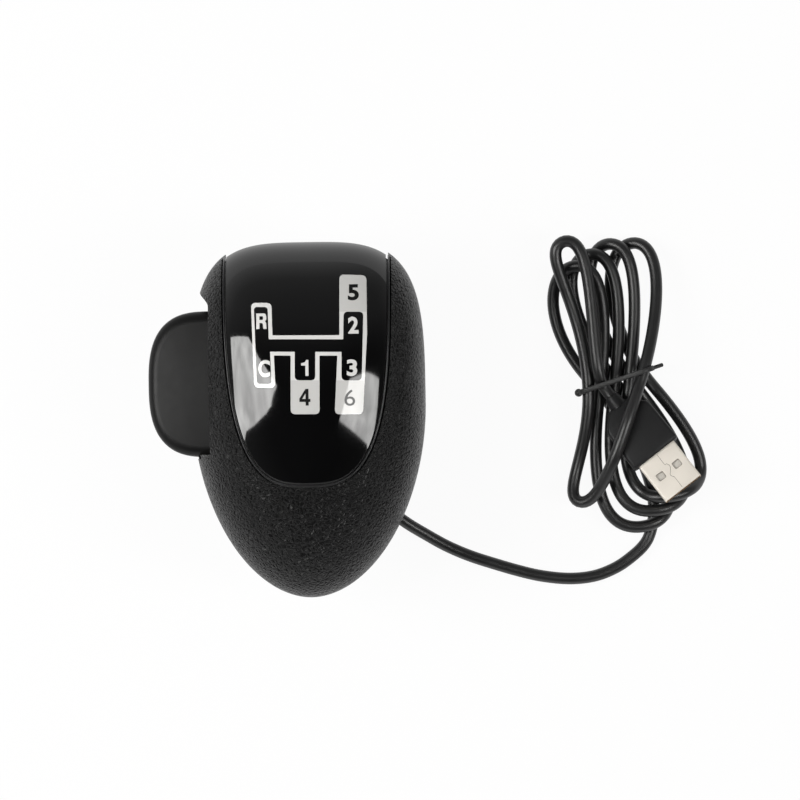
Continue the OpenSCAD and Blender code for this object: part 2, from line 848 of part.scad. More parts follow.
module plug_body() {
    round = 1;
    color([0.1, 0.1, 0.11])
    at_plug(cable_end) {
        rotate([0, 90, 0])
            cylinder(r1 = cable_r + 0.4, r2 = cable_r + 0.8, h = relief_l + 0.6);
        translate([relief_l, 0, 0])
            hull()
                for (c = [[round, 4, 2.3], [4.4, plug_w / 2 - 0.3, 2.9],
                        [body_l - round, plug_w / 2, plug_h / 2]])
                    for (y = [-1, 1])
                        for (z = [-1, 1])
                            translate([c[0], y * (c[1] - round), z * (c[2] - round)])
                                sphere(r = round, $fn = 16);
    }
}

// a block lying along the plug's axis from x0 to x1, centred across
module along(x0, x1, w, h) {
    translate([x0, -w / 2, -h / 2])
        cube([x1 - x0, w, h]);
}

module plug_shell() {
    back = 0.5;
    color([0.86, 0.84, 0.8])
    at_plug(shell_x)
        difference() {
            along(0, shell_l, shell_w, shell_h);
            along(back, shell_l + 1, shell_w - 2 * shell_t, shell_h - 2 * shell_t);
            for (y = [-1, 1])
                translate([0, y * 2.75, 0])
                    along(4.6, 6.7, 2.4, shell_h + 1);
        }
}

module plug_tongue() {
    color([0.8, 0.76, 0.7])
    at_plug(shell_x)
        difference() {
            translate([0, 0, 0.9])
                along(0.5, shell_l - 0.6, shell_w - 2 * shell_t - 0.1, 1.8);
            for (i = [0 : 3])
                translate([0, -3.5 + 7 * i / 3, 0])
                    along(2, shell_l - 1.6, 1.2, 0.6);
        }
}

module plug_contacts() {
    color([0.8, 0.65, 0.3])
    at_plug(shell_x)
        for (i = [0 : 3])
            translate([0, -3.5 + 7 * i / 3, 0.15])
                along(2.1, shell_l - 1.7, 1, 0.3);
}

echo(least_gap_in_hank = hank_gap());  // cable_hank

grip_upper();
grip_lower();
housing_screws();
panel_tray();
gear_plate();
core_frame();
frame_screws();
lever_sleeve();
clamp_screws();
splitter_pin();
range_pin();
circuit_board();
controller_chip();
lead_connector();
board_screws();
splitter_case();
range_case();
inner_lead();
lead_grommet();
splitter_paddle();
splitter_slider();
range_lever();
range_slider();
cable_lead();
cable_hank();
hank_tie();
plug_body();
plug_shell();
plug_tongue();
plug_contacts();
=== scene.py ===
"""Looks of the gear-shift knob: grained shells, gloss panel and gear pattern, levers, cable hank and plug.

The shapes repeat the part's source, in millimetres, and are scaled to metres when they are placed.
"""

import math

import bmesh
import bpy
import numpy as np
from mathutils import Matrix, Vector


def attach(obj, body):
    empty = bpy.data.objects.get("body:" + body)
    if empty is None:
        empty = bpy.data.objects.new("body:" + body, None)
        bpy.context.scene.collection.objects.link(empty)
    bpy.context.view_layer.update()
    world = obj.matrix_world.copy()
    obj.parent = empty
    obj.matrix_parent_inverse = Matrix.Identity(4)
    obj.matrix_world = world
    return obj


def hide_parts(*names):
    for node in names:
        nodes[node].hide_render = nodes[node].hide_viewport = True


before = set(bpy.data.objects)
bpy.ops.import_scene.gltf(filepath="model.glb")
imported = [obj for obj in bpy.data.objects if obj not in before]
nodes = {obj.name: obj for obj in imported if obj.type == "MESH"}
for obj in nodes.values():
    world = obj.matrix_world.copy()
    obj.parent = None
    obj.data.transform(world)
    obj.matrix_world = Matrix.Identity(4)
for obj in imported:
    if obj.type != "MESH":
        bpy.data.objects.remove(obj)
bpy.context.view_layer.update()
scene = bpy.context.scene
MM = 0.001

# sizes of the knob, as in the part's source
HALF_W, NOSE_L, HEEL_L = 31.3, 44.4, 51.6
HEAD_Y, HEAD_Z, TOP_H, UNDER_H = 3.8, 40.0, 30.0, 28.0
NOSE_N, HEEL_N = 3.6, 1.92
TOP_NOSE_M, TOP_HEEL_M, UNDER_M = 2.8, 2.2, 2.2
WALL, SEAM_Z, SEAM_GAP = 3.2, 33.0, 0.07
SIDE_X, SIDE_Y0, SIDE_Y1 = 26.2, -9.0, 34.8
RECESS_BOW = (2.6, 4.5)
FRONT_Y, FRONT_HW, LIP_Z, RECESS_WALL = 38.0, 21.8, 50.0, 2.5
PANEL_HW, PANEL_L, PANEL_Y, PANEL_N = 22.5, 61.0, 43.0, 3.1
TRAY_T, PLATE_T = 2.0, 1.2
NECK_R, NECK_IN_R, SEAT_Z, FLANGE_R = 17.5, 14.3, 18.0, 17.4
LEAD_DEG, LEAD_Z = -50, 6.0
CABLE_R = 1.65
# points whose level is within this of the skin's take its exact normal, if their face looks along it
ON_HEAD, SAME_WAY, NORMAL_STEP = 0.012, 0.9, 0.02


def superellipse(t, across, along, n):
    """Radius at angle t, from the two half sizes."""
    return ((np.abs(np.cos(t)) / across) ** n + (np.abs(np.sin(t)) / along) ** n) ** (-1 / n)


# the head: superelliptic in plan, longer and rounder to the rear, with its own curves above and below HEAD_Z
def plan_r(t, d=0.0):
    """Radius of the plan at angle t, d inside the skin."""
    nose = np.sin(t) >= 0
    along = np.where(nose, NOSE_L, HEEL_L) - d
    return superellipse(t, HALF_W - d, along, np.where(nose, NOSE_N, HEEL_N))


def top_m(t):
    return TOP_HEEL_M + (TOP_NOSE_M - TOP_HEEL_M) * (1 + np.sin(t)) / 2


def head_point(t, p, d=0.0):
    """Point of the skin at plan angle t and elevation p, d inside it."""
    m = np.where(p >= 0, top_m(t), UNDER_M)
    k = (np.cos(p) ** m + np.abs(np.sin(p)) ** m) ** (1 / m)
    r = plan_r(t, d) * np.cos(p) / k
    h = np.where(p >= 0, TOP_H, UNDER_H) - d
    return np.stack([r * np.cos(t), HEAD_Y + r * np.sin(t), HEAD_Z + h * np.sin(p) / k], -1)


def head_height(x, y):
    """Height of the skin's upper half over x, y."""
    t = np.arctan2(y - HEAD_Y, x)
    m = top_m(t)
    share = np.clip(np.hypot(x, y - HEAD_Y) / plan_r(t), 0, 1)
    return HEAD_Z + TOP_H * (1 - share**m) ** (1 / m)


def head_level(q):
    """Zero on the skin, negative inside."""
    x, y, z = q[..., 0], q[..., 1] - HEAD_Y, q[..., 2] - HEAD_Z
    t = np.arctan2(y, x)
    m = np.where(z >= 0, top_m(t), UNDER_M)
    return (np.hypot(x, y) / plan_r(t)) ** m + (np.abs(z) / np.where(z >= 0, TOP_H, UNDER_H)) ** m - 1


def head_normal(q):
    g = np.stack([head_level(q + e) - head_level(q - e) for e in NORMAL_STEP * np.eye(3)], -1)
    return g / np.maximum(np.linalg.norm(g, axis=-1, keepdims=True), 1e-12)


# mesh helpers
def added(name, data):
    o = bpy.data.objects.new(name, data)
    scene.collection.objects.link(o)
    return o


def make(name, verts, faces):
    mesh = bpy.data.meshes.new(name)
    mesh.from_pydata([tuple(map(float, v)) for v in verts], [], faces)
    return added(name, mesh)


def baked(o):
    """Mesh of an object with its modifiers, or of a curve with its fill."""
    return bpy.data.meshes.new_from_object(o.evaluated_get(bpy.context.evaluated_depsgraph_get()))


def loft(rings, looped=False):
    """Verts and faces of a skin over rings of points, closed with flat ends unless it is looped."""
    rings = np.asarray(rings, float)
    count, sides = rings.shape[:2]
    faces = []
    for i in range(count if looped else count - 1):
        a, b = i * sides, (i + 1) % count * sides
        for j in range(sides):
            k = (j + 1) % sides
            faces.append((a + j, a + k, b + k, b + j))
    if not looped:
        faces.append(tuple(range(sides))[::-1])
        faces.append(tuple((count - 1) * sides + j for j in range(sides)))
    return rings.reshape(-1, 3), faces


def joined(parts):
    """Verts and faces of several skins as one."""
    verts, faces = [], []
    for v, f in parts:
        faces += [tuple(i + len(verts) for i in face) for face in f]
        verts += list(v)
    return verts, faces


def block(x0, x1, y0, y1, z0, z1):
    ring = [(x0, y0), (x1, y0), (x1, y1), (x0, y1)]
    return loft([[(x, y, z) for x, y in ring] for z in (z0, z1)])


def circle(r, z, sides):
    a = np.linspace(0, 2 * math.pi, sides, endpoint=False)
    return np.stack([r * np.cos(a), r * np.sin(a), np.full(sides, z)], -1)


def rod(r, length, sides=48):
    """Cylinder along Z, centred."""
    return loft([circle(r, z, sides) for z in (-length / 2, length / 2)])


def moved(part, matrix):
    verts = np.asarray(part[0], float)
    m = np.array(matrix)
    return verts @ m[:3, :3].T + m[:3, 3], part[1]


def solid(part, name="cutter"):
    """Object of a closed skin, with its faces turned outwards."""
    o = make(name, *part)
    bm = bmesh.new()
    bm.from_mesh(o.data)
    bmesh.ops.recalc_face_normals(bm, faces=bm.faces[:])
    bm.to_mesh(o.data)
    bm.free()
    return o


def carve(o, cutter, how="DIFFERENCE"):
    """Cuts an object with another, which is used up."""
    mod = o.modifiers.new("carve", "BOOLEAN")
    mod.operation, mod.solver, mod.object = how, "EXACT", cutter
    mesh = baked(o)
    o.modifiers.clear()
    o.data = mesh
    bpy.data.objects.remove(cutter)
    return o


def place(o, material, body="housing", stands_for=(), sharp=32.0, on_head=False):
    """Scales a finished piece to metres, shades it and hangs it on its body."""
    mesh = o.data
    count = len(mesh.polygons)
    mesh.polygons.foreach_set("use_smooth", [True] * count)
    mesh.set_sharp_from_angle(angle=math.radians(sharp))
    if on_head:
        co = np.zeros(len(mesh.vertices) * 3)
        mesh.vertices.foreach_get("co", co)
        co = co.reshape(-1, 3)
        outer = np.abs(head_level(co)) < ON_HEAD
        wanted = head_normal(co)
        loops = np.zeros((len(mesh.loops), 3))
        for face in mesh.polygons:
            ids = list(face.vertices)
            if outer[ids].all() and np.dot(wanted[ids].mean(0), face.normal) > SAME_WAY:
                loops[face.loop_start : face.loop_start + face.loop_total] = wanted[ids]
        mesh.normals_split_custom_set(loops.tolist())
    mesh.transform(Matrix.Scale(MM, 4))
    mesh.materials.clear()
    mesh.materials.append(material)
    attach(o, body)
    if stands_for:
        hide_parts(*stands_for)
    return o


# materials
BROAD_CELLS, BROAD_DETAIL, FINE_DETAIL, LEAST_ROUGH = 6, 3, 2, 0.01
GRAIN_CELL, GRAIN_DEPTH, GRAIN_EDGE = 1.25, 0.4, 0.32
GRAIN_FINE_CELL, GRAIN_FINE_SHARE = 0.7, 0.6
COAT_ROUGH = 0.05


def node_of(tree, kind):
    return next(n for n in tree.nodes if n.type == kind)


def ranged(tree, value, low, high, to_low, to_high, how="SMOOTHSTEP"):
    """Output that goes from to_low to to_high while value goes from low to high."""
    n = tree.nodes.new("ShaderNodeMapRange")
    n.interpolation_type = how
    for name, number in (("From Min", low), ("From Max", high), ("To Min", to_low), ("To Max", to_high)):
        n.inputs[name].default_value = number
    tree.links.new(value, n.inputs["Value"])
    return n.outputs["Result"]


def surface(
    name, colour, rough, metal=0.0, cell=0.8, bump=0.1, depth=0.02, tone=0.12, rough_by=0.08, shine=0.5
):
    """Principled material: tone, roughness and fine relief vary with noise. Cell and depth are in mm."""
    m = bpy.data.materials.new(name)
    m.use_nodes = True
    tree = m.node_tree
    add, link = tree.nodes.new, tree.links.new
    shade = tree.nodes["Principled BSDF"]
    shade.inputs["Metallic"].default_value = metal
    shade.inputs["Specular IOR Level"].default_value = shine
    where = add("ShaderNodeTexCoord")
    broad = add("ShaderNodeTexNoise")
    broad.inputs["Scale"].default_value = 1 / (cell * BROAD_CELLS * MM)
    broad.inputs["Detail"].default_value = BROAD_DETAIL
    link(where.outputs["Object"], broad.inputs["Vector"])
    tint = add("ShaderNodeMix")
    tint.data_type = "RGBA"
    tint.inputs["A"].default_value = (*[c * (1 - tone) for c in colour], 1)
    tint.inputs["B"].default_value = (*[c * (1 + tone) for c in colour], 1)
    link(broad.outputs["Fac"], tint.inputs["Factor"])
    link(tint.outputs["Result"], shade.inputs["Base Color"])
    least = max(rough - rough_by, LEAST_ROUGH)
    spread = ranged(tree, broad.outputs["Fac"], 0, 1, least, rough + rough_by, "LINEAR")
    link(spread, shade.inputs["Roughness"])
    fine = add("ShaderNodeTexNoise")
    fine.inputs["Scale"].default_value = 1 / (cell * MM)
    fine.inputs["Detail"].default_value = FINE_DETAIL
    link(where.outputs["Object"], fine.inputs["Vector"])
    relief = add("ShaderNodeBump")
    relief.inputs["Strength"].default_value = bump
    relief.inputs["Distance"].default_value = depth * MM
    link(fine.outputs["Fac"], relief.inputs["Height"])
    link(relief.outputs["Normal"], shade.inputs["Normal"])
    return m


def leather(name, colour, rough, shine):
    """Moulded leather grain: small cells with soft valleys between them, over a finer noise."""
    m = surface(name, colour, rough, cell=1.0, tone=0.1, rough_by=0.06, shine=shine)
    tree = m.node_tree
    add, link = tree.nodes.new, tree.links.new
    where, relief = node_of(tree, "TEX_COORD"), node_of(tree, "BUMP")
    fine = [n for n in tree.nodes if n.type == "TEX_NOISE"][1]
    fine.inputs["Scale"].default_value = 1 / (GRAIN_FINE_CELL * MM)
    cells = add("ShaderNodeTexVoronoi")
    cells.feature = "DISTANCE_TO_EDGE"
    cells.inputs["Scale"].default_value = 1 / (GRAIN_CELL * MM)
    cells.inputs["Randomness"].default_value = 1.0
    link(where.outputs["Object"], cells.inputs["Vector"])
    pillow = ranged(tree, cells.outputs["Distance"], 0, GRAIN_EDGE, 0, 1)
    both = add("ShaderNodeMath")
    both.operation = "MULTIPLY_ADD"
    both.inputs[1].default_value = GRAIN_FINE_SHARE
    link(fine.outputs["Fac"], both.inputs[0])
    link(pillow, both.inputs[2])
    link(both.outputs["Value"], relief.inputs["Height"])
    relief.inputs["Strength"].default_value = 1.0
    relief.inputs["Distance"].default_value = GRAIN_DEPTH * MM
    return m


grip_black = leather("grip_grain", (0.003, 0.003, 0.003), 0.34, 0.18)
gloss_black = surface(
    "panel_gloss", (0.0015, 0.0015, 0.0016), 0.05, cell=2.0, bump=0.02, depth=0.004, rough_by=0.015
)
rim_dark = surface("panel_bed", (0.006, 0.006, 0.0062), 0.5)
rim_gloss = surface("panel_rim", (0.012, 0.012, 0.0125), 0.25, shine=0.3, cell=0.5, rough_by=0.05)
lever_black = surface(
    "lever_black", (0.006, 0.006, 0.006), 0.37, cell=0.35, bump=0.2, depth=0.015, shine=0.15
)
pattern_silver = surface("pattern_silver", (0.535, 0.53, 0.515), 0.42, cell=0.5, tone=0.03, depth=0.004)
pattern_white = surface("pattern_white", (0.66, 0.655, 0.64), 0.42, cell=0.5, tone=0.03, depth=0.004)
pattern_black = surface("pattern_black", (0.004, 0.004, 0.004), 0.6, cell=0.5, depth=0.004, shine=0.15)
pattern_grey = surface("pattern_grey", (0.12, 0.12, 0.12), 0.4, cell=0.5, depth=0.004)
cable_black = surface("cable_black", (0.006, 0.006, 0.0062), 0.38, cell=0.6, bump=0.15, shine=0.6)
plug_black = surface("plug_black", (0.008, 0.008, 0.0085), 0.45, cell=0.4, bump=0.25, shine=0.3)
tie_black = surface("tie_black", (0.012, 0.012, 0.012), 0.5, cell=0.3, bump=0.3, depth=0.03)
plug_steel = surface("plug_steel", (0.76, 0.71, 0.635), 0.5, metal=0.35, cell=0.6, tone=0.03, depth=0.01)
# dark for the fold line, a joint in the shell, and painted shade at the windows' edges
fold_and_window_shade = surface("fold_and_window_shade", (0.28, 0.25, 0.21), 0.6, cell=0.4)
# painted shade: dark brown for the shell's inner faces, standing in for the shade inside the plug's mouth
plug_inside_painted_shade = surface("plug_inside_painted_shade", (0.22, 0.13, 0.055), 0.5, cell=0.4)
for paint_coat in (pattern_silver, pattern_white):
    lacquer = paint_coat.node_tree.nodes["Principled BSDF"].inputs
    lacquer["Coat Weight"].default_value = 1.0
    lacquer["Coat Roughness"].default_value = COAT_ROUGH
SLOTS = {
    "frame_grey": surface("frame_grey", (0.1, 0.105, 0.115), 0.5),
    "screw_steel": surface("screw_steel", (0.55, 0.55, 0.56), 0.32, metal=1.0, cell=0.3),
    "sleeve_metal": surface("sleeve_metal", (0.62, 0.62, 0.63), 0.28, metal=1.0, cell=0.5),
    "clamp_steel": surface("clamp_steel", (0.12, 0.12, 0.125), 0.35, metal=1.0, cell=0.3),
    "pin_steel": surface("pin_steel", (0.6, 0.6, 0.61), 0.22, metal=1.0, cell=0.5),
    "board_green": surface("board_green", (0.012, 0.09, 0.035), 0.38, cell=0.6),
    "chip_black": surface("chip_black", (0.012, 0.012, 0.013), 0.5, cell=0.2),
    "connector_white": surface("connector_white", (0.72, 0.7, 0.64), 0.45, cell=0.4, tone=0.04),
    "switch_black": surface("switch_black", (0.025, 0.025, 0.028), 0.45, cell=0.3),
    "slider_white": surface("slider_white", (0.75, 0.75, 0.72), 0.42, cell=0.3, tone=0.04),
    "grommet_black": surface("grommet_black", (0.015, 0.015, 0.016), 0.55, cell=0.4, bump=0.25),
    "tongue_beige": surface("tongue_beige", (0.56, 0.53, 0.48), 0.5, cell=0.4, tone=0.05),
    "contact_gold": surface("contact_gold", (0.8, 0.6, 0.25), 0.25, metal=1.0, cell=0.3, tone=0.05),
    "cable_black": cable_black,
}

# the two shells; a fine head is for what shows, a plain one for the surfaces inside
HEAD_STEPS, HEAD_RINGS, POLE = 240, 108, 89.4
FINE_HEAD, PLAIN_HEAD, CAVITY_HEAD = (320, 150), (160, 80), (120, 60)
BELOW, BEYOND, ABOVE = -1, 80, 90
PADDLE_SLOT = (-SIDE_X - 5, -SIDE_X + 3.5, -10.2, 29.8, 37.6, 50.4)
RANGE_SLOT = (-18.5, 18.5, 34.5, 43, 34.4, 45.6)
SEAM_SPAN, SEAM_LOW = (-90, 90, -120, 120), -5
POCKET_GAP, POCKET_LOW, PRISM_REACH = 0.05, 0.1, 20
NECK_FOOT = [(-0.6, 0.0), (-0.18, 0.18), (0, 0.6), (-0.1, 3.0)]
FLARE_R, FLARE_OUT, FLARE_POWER, FLARE_Z, FLARE_H, FLARE_STEPS = 17.3, 7, 2.2, 6, 16, 24
NECK_SIDES, BORE_SIDES = 128, 96
SEAT_R, SEAT_LOW = 18.5, 4
BORE_L, BORE_MID, FLANGE_FIT, FLANGE_H = 60, 29, 0.2, 9
SCREW_AT, SCREW_HOLE = ((19, 31.3), (-19, 31.3), (17.5, -24), (-17.5, -24)), (3.1, 30, 12)
LEAD_HOLE, LEAD_HOLE_OUT = (3.3, 10), 2
CLAMP_AZ, CLAMP_HOLE, CLAMP_OUT, CLAMP_Z = (20, 140, 260), (2.3, 10), 3, 9


def head(d=0.0, steps=HEAD_STEPS, rings=HEAD_RINGS):
    """Closed head, d inside its skin."""
    t = np.linspace(0, 2 * math.pi, steps, endpoint=False)
    p = np.radians(np.linspace(-POLE, POLE, rings))
    return solid(loft([head_point(t, np.full(steps, e), d) for e in p]), "head")


def panel_outline(d, steps=120):
    """Points of the panel's plan, d inside it, from the left of the front round the rear to the right."""
    t = np.radians(np.linspace(180, 360, steps + 1))
    r = superellipse(t, PANEL_HW - d, PANEL_L - d, PANEL_N)
    return np.stack([r * np.cos(t), PANEL_Y + r * np.sin(t)], -1)


def panel_prism(d, z0):
    """Cutter with the panel's plan, d inside it, open to the front."""
    w, front = PANEL_HW - d, PANEL_Y + PRISM_REACH
    plan = [*panel_outline(d), (w, front), (-w, front)]
    return solid(loft([[(x, y, z) for x, y in plan] for z in (z0, ABOVE)]))


def cavity():
    """Hollow of the head, kept off the recesses of the paddle and the range lever."""
    o = head(WALL, *CAVITY_HEAD)
    inner_x, inner_y = SIDE_X - RECESS_WALL, FRONT_Y - RECESS_WALL
    carve(o, solid(block(-BEYOND, -inner_x, SIDE_Y0 - RECESS_WALL, SIDE_Y1 + RECESS_WALL, BELOW, ABOVE)))
    hw = FRONT_HW + RECESS_WALL
    return carve(o, solid(block(-hw, hw, inner_y, ABOVE, BELOW, LIP_Z + RECESS_WALL)))


def recessed(o):
    """Cuts the two recesses into a shell."""
    plan = [(-BEYOND, SIDE_Y0), (-SIDE_X, SIDE_Y0)]
    for s in np.linspace(0, 1, 20):
        plan.append((-SIDE_X - RECESS_BOW[0] * s * s * (3 - 2 * s), SIDE_Y1 - RECESS_BOW[1] * (1 - s)))
    plan.append((-BEYOND, SIDE_Y1))
    carve(o, solid(loft([[(x, y, z) for x, y in plan] for z in (BELOW, ABOVE)])))
    return carve(o, solid(block(-FRONT_HW, FRONT_HW, FRONT_Y, ABOVE, BELOW, LIP_Z)))


def turned(angle, axis):
    return Matrix.Rotation(math.radians(angle), 4, axis)


def at_az(az, r, z):
    """Turns Z outwards at an azimuth and radius."""
    return turned(az, "Z") @ Matrix.Translation((r, 0, z)) @ turned(90, "Y")


top = head()
carve(top, cavity())
recessed(top)
carve(top, solid(block(*SEAM_SPAN, SEAM_LOW, SEAM_Z + SEAM_GAP)))
pocket = panel_prism(-POCKET_GAP, LIP_Z - POCKET_LOW)
carve(pocket, head(TRAY_T, *PLAIN_HEAD))
carve(top, pocket)
carve(top, solid(block(*PADDLE_SLOT)))
carve(top, solid(block(*RANGE_SLOT)))
top.name = "grip_top"
place(top, grip_black, stands_for=["grip_upper"], on_head=True)

base = head()
profile = [(NECK_R + out, z) for out, z in NECK_FOOT]
for s in np.arange(FLARE_STEPS + 1) / FLARE_STEPS:
    profile.append((FLARE_R + FLARE_OUT * s**FLARE_POWER, FLARE_Z + FLARE_H * s))
carve(base, solid(loft([circle(r, z, NECK_SIDES) for r, z in profile])), "UNION")
hollow = cavity()
seat = moved(rod(SEAT_R, SEAT_Z - SEAT_LOW), Matrix.Translation((0, 0, (SEAT_Z + SEAT_LOW) / 2)))
carve(hollow, solid(seat))
carve(base, hollow)
recessed(base)
carve(base, solid(block(*SEAM_SPAN, SEAM_Z - SEAM_GAP, ABOVE)))
carve(base, solid(moved(rod(NECK_IN_R, BORE_L, BORE_SIDES), Matrix.Translation((0, 0, BORE_MID)))))
flange = rod(FLANGE_R + FLANGE_FIT, FLANGE_H, BORE_SIDES)
carve(base, solid(moved(flange, Matrix.Translation((0, 0, SEAT_Z + FLANGE_H / 2)))))
for x, y in SCREW_AT:
    carve(base, solid(moved(rod(*SCREW_HOLE[:2]), Matrix.Translation((x, y, SCREW_HOLE[2])))))
carve(base, solid(moved(rod(*LEAD_HOLE), at_az(LEAD_DEG, NECK_IN_R + LEAD_HOLE_OUT, LEAD_Z))))
for az in CLAMP_AZ:
    carve(base, solid(moved(rod(*CLAMP_HOLE), at_az(az, NECK_IN_R + CLAMP_OUT, CLAMP_Z))))
base.name = "grip_base"
place(base, grip_black, stands_for=["grip_lower"], on_head=True)

# panel: a sunk bed, a thin bead round it and the gloss plate
BED_DEPTH, PLATE_IN, PLATE_LOW = 0.75, 1.3, 0.9
BEAD_IN, BEAD_R, BEAD_SINK, BEAD_SIDES = 0.62, 0.24, 0.12, 14
BEAD_STEPS, BEAD_STEP, BEAD_REACH, BEAD_OVER_LIP = 240, 0.3, 6, 0.3
bed = head(BED_DEPTH)
carve(bed, panel_prism(0.0, LIP_Z), "INTERSECT")
carve(bed, head(TRAY_T, *PLAIN_HEAD))
bed.name = "panel_bed"
place(bed, rim_dark, stands_for=["panel_tray"])

plate = head(0.0, *FINE_HEAD)
carve(plate, panel_prism(PLATE_IN, LIP_Z + PLATE_LOW), "INTERSECT")
carve(plate, head(PLATE_T, *PLAIN_HEAD))
plate.name = "panel_face"
place(plate, gloss_black, stands_for=["gear_plate"], on_head=True)


def directions(path):
    """Unit vector along a path at each of its points."""
    along = np.gradient(path, axis=0)
    return along / np.linalg.norm(along, axis=1, keepdims=True)


def sweep(path, section):
    """Skin of a section (across, up) carried along a path of points; up is the head's normal there."""
    along = directions(path)
    up = head_normal(path)
    up -= (up * along).sum(1, keepdims=True) * along
    up /= np.linalg.norm(up, axis=1, keepdims=True)
    side = np.cross(along, up)
    return loft([[p + a * s + b * u for a, b in section] for p, s, u in zip(path, side, up)])


line = panel_outline(BEAD_IN, BEAD_STEPS)
side_y = np.arange(PANEL_Y + BEAD_STEP, PANEL_Y + BEAD_REACH, BEAD_STEP)
edge = PANEL_HW - BEAD_IN
line = np.concatenate([[(-edge, y) for y in side_y[::-1]], line, [(edge, y) for y in side_y]])
height = head_height(line[:, 0], line[:, 1])
line = np.column_stack([line, height - BEAD_SINK])[height > LIP_Z + BEAD_OVER_LIP]
bead = solid(sweep(line, circle(BEAD_R, 0, BEAD_SIDES)[:, :2]), "panel_bead")
place(bead, rim_gloss, sharp=60)

# gear pattern on the plate: corners of the white line's two edges, each with its radius
OUTLINE = [
    (-14.5, 31.0, 1.3), (-9.1, 30.9, 1.3), (-8.9, 22.3, 0.2), (8.7, 22.1, 0.2), (8.9, 38.2, 1.3),
    (16.0, 37.9, 1.3), (16.0, 22.6, 0), (14.6, 1.2, 1.3), (7.2, 1.3, 1.3), (8.1, 16.7, 0.2),
    (3.4, 16.8, 0.2), (3.2, 1.4, 1.3), (-4.4, 1.5, 1.3), (-4.2, 16.9, 0.2), (-8.6, 17.0, 0.2),
    (-8.3, 8.5, 1.3), (-13.9, 8.6, 1.3),
]
CORRIDOR = [
    (-13.75, 29.9, 0.9), (-10.1, 29.8, 0.9), (-9.9, 21.3, 0.2), (9.7, 21.0, 0.2), (9.9, 28.3, 1.2),
    (15.1, 28.2, 1.2), (14.4, 10.1, 1.2), (9.1, 10.2, 1.2), (9.2, 17.7, 0.2), (2.3, 17.8, 0.2),
    (2.2, 10.3, 1.2), (-3.2, 10.4, 1.2), (-3.1, 17.9, 0.2), (-9.6, 18.0, 0.2), (-9.3, 9.5, 0.9),
    (-13.2, 9.6, 0.9),
]
# filled ends of the gates, a hair inside the outline
BLOCKS = [
    [(8.95, 38.15, 1.3), (15.95, 37.85, 1.3), (15.95, 28.2, 0), (8.83, 28.3, 0)],
    [(3.26, 10.3, 0), (3.15, 1.45, 1.3), (-4.35, 1.55, 1.3), (-4.23, 10.4, 0)],
    [(15.13, 10.1, 0), (14.55, 1.25, 1.3), (7.25, 1.35, 1.3), (7.77, 10.2, 0)],
]
# each mark: character, place, width, height, weight and colour
DIGITS = [
    ("R", -11.8, 26.1, 2.7, 4.1, 0, "light"), ("C", -11.2, 13.6, 3.1, 4.5, 0.035, "light"),
    ("1", -0.5, 13.6, 1.9, 4.2, 0, "light"), ("2", 12.4, 24.7, 2.75, 4.5, 0.035, "light"),
    ("3", 11.9, 13.5, 2.75, 4.4, 0.035, "light"), ("5", 12.5, 33.4, 2.9, 4.3, 0.035, "dark"),
    ("4", -0.6, 5.9, 2.9, 4.4, 0, "dark"), ("6", 11.2, 5.6, 2.8, 4.3, 0, "grey"),
]
# marks drawn as outlines in shares of their width and height, each corner with its radius
DRAWN = {
    "1": [[
        (0.08, -0.5, 0), (0.5, -0.5, 0), (0.5, 0.5, 0), (0.2, 0.5, 0), (0.02, 0.36, 0), (-0.5, 0.3, 0),
        (-0.5, 0.15, 0), (0.08, 0.15, 0),
    ]],
    "4": [
        [
            (0.06, -0.5, 0), (0.34, -0.5, 0), (0.34, -0.28, 0), (0.5, -0.28, 0), (0.5, -0.1, 0),
            (0.34, -0.1, 0), (0.34, 0.5, 0), (0.06, 0.5, 0), (-0.5, -0.08, 0), (-0.5, -0.28, 0),
            (0.06, -0.28, 0),
        ],
        [(0.06, -0.1, 0), (0.06, 0.22, 0), (-0.24, -0.1, 0)],
    ],
    "R": [
        [
            (-0.5, -0.5, 0), (-0.19, -0.5, 0), (-0.19, -0.11, 0), (0.14, -0.11, 0.14), (0.19, -0.5, 0),
            (0.5, -0.5, 0), (0.46, -0.06, 0.12), (0.34, 0.0, 0.03), (0.49, 0.06, 0.1), (0.49, 0.5, 0.26),
            (-0.5, 0.5, 0),
        ],
        [(-0.19, 0.08, 0), (0.17, 0.08, 0.11), (0.17, 0.32, 0.11), (-0.19, 0.32, 0)],
    ],
}
LINE_LIFT, BLOCK_LIFT, DIGIT_LIFT, PAINT_T = 0.03, 0.045, 0.06, 0.08
# the paint is cut into facets over these spans, and points closer than the weld become one
FACET, PAINT_X, PAINT_Y, PAINT_WELD = 1.0, (-18, 18), (-2, 42), 0.005
MARKS = {
    "light": (LINE_LIFT, pattern_white),
    "dark": (DIGIT_LIFT, pattern_black),
    "grey": (DIGIT_LIFT, pattern_grey),
}


def rounded(points, steps=6):
    """Outline whose corners (x, y, r) are rounded, beginning r before each corner."""
    out = []
    for i, (x, y, r) in enumerate(points):
        here = np.array((x, y))
        if not r:
            out.append(here)
            continue
        before = np.array(points[i - 1][:2]) - here
        after = np.array(points[(i + 1) % len(points)][:2]) - here
        a = here + before / np.linalg.norm(before) * r
        b = here + after / np.linalg.norm(after) * r
        for s in np.linspace(0, 1, steps):
            out.append((1 - s) ** 2 * a + 2 * s * (1 - s) * here + s * s * b)
    return out


def flat_mesh(curve):
    o = added("flat", curve)
    mesh = baked(o)
    bpy.data.objects.remove(o)
    return mesh


def filled(loops):
    """Flat mesh between closed outlines."""
    curve = bpy.data.curves.new("fill", "CURVE")
    curve.dimensions, curve.fill_mode = "2D", "BOTH"
    for points in loops:
        spline = curve.splines.new("POLY")
        spline.points.add(len(points) - 1)
        for target, p in zip(spline.points, points):
            target.co = (p[0], p[1], 0, 1)
        spline.use_cyclic_u = True
    return flat_mesh(curve)


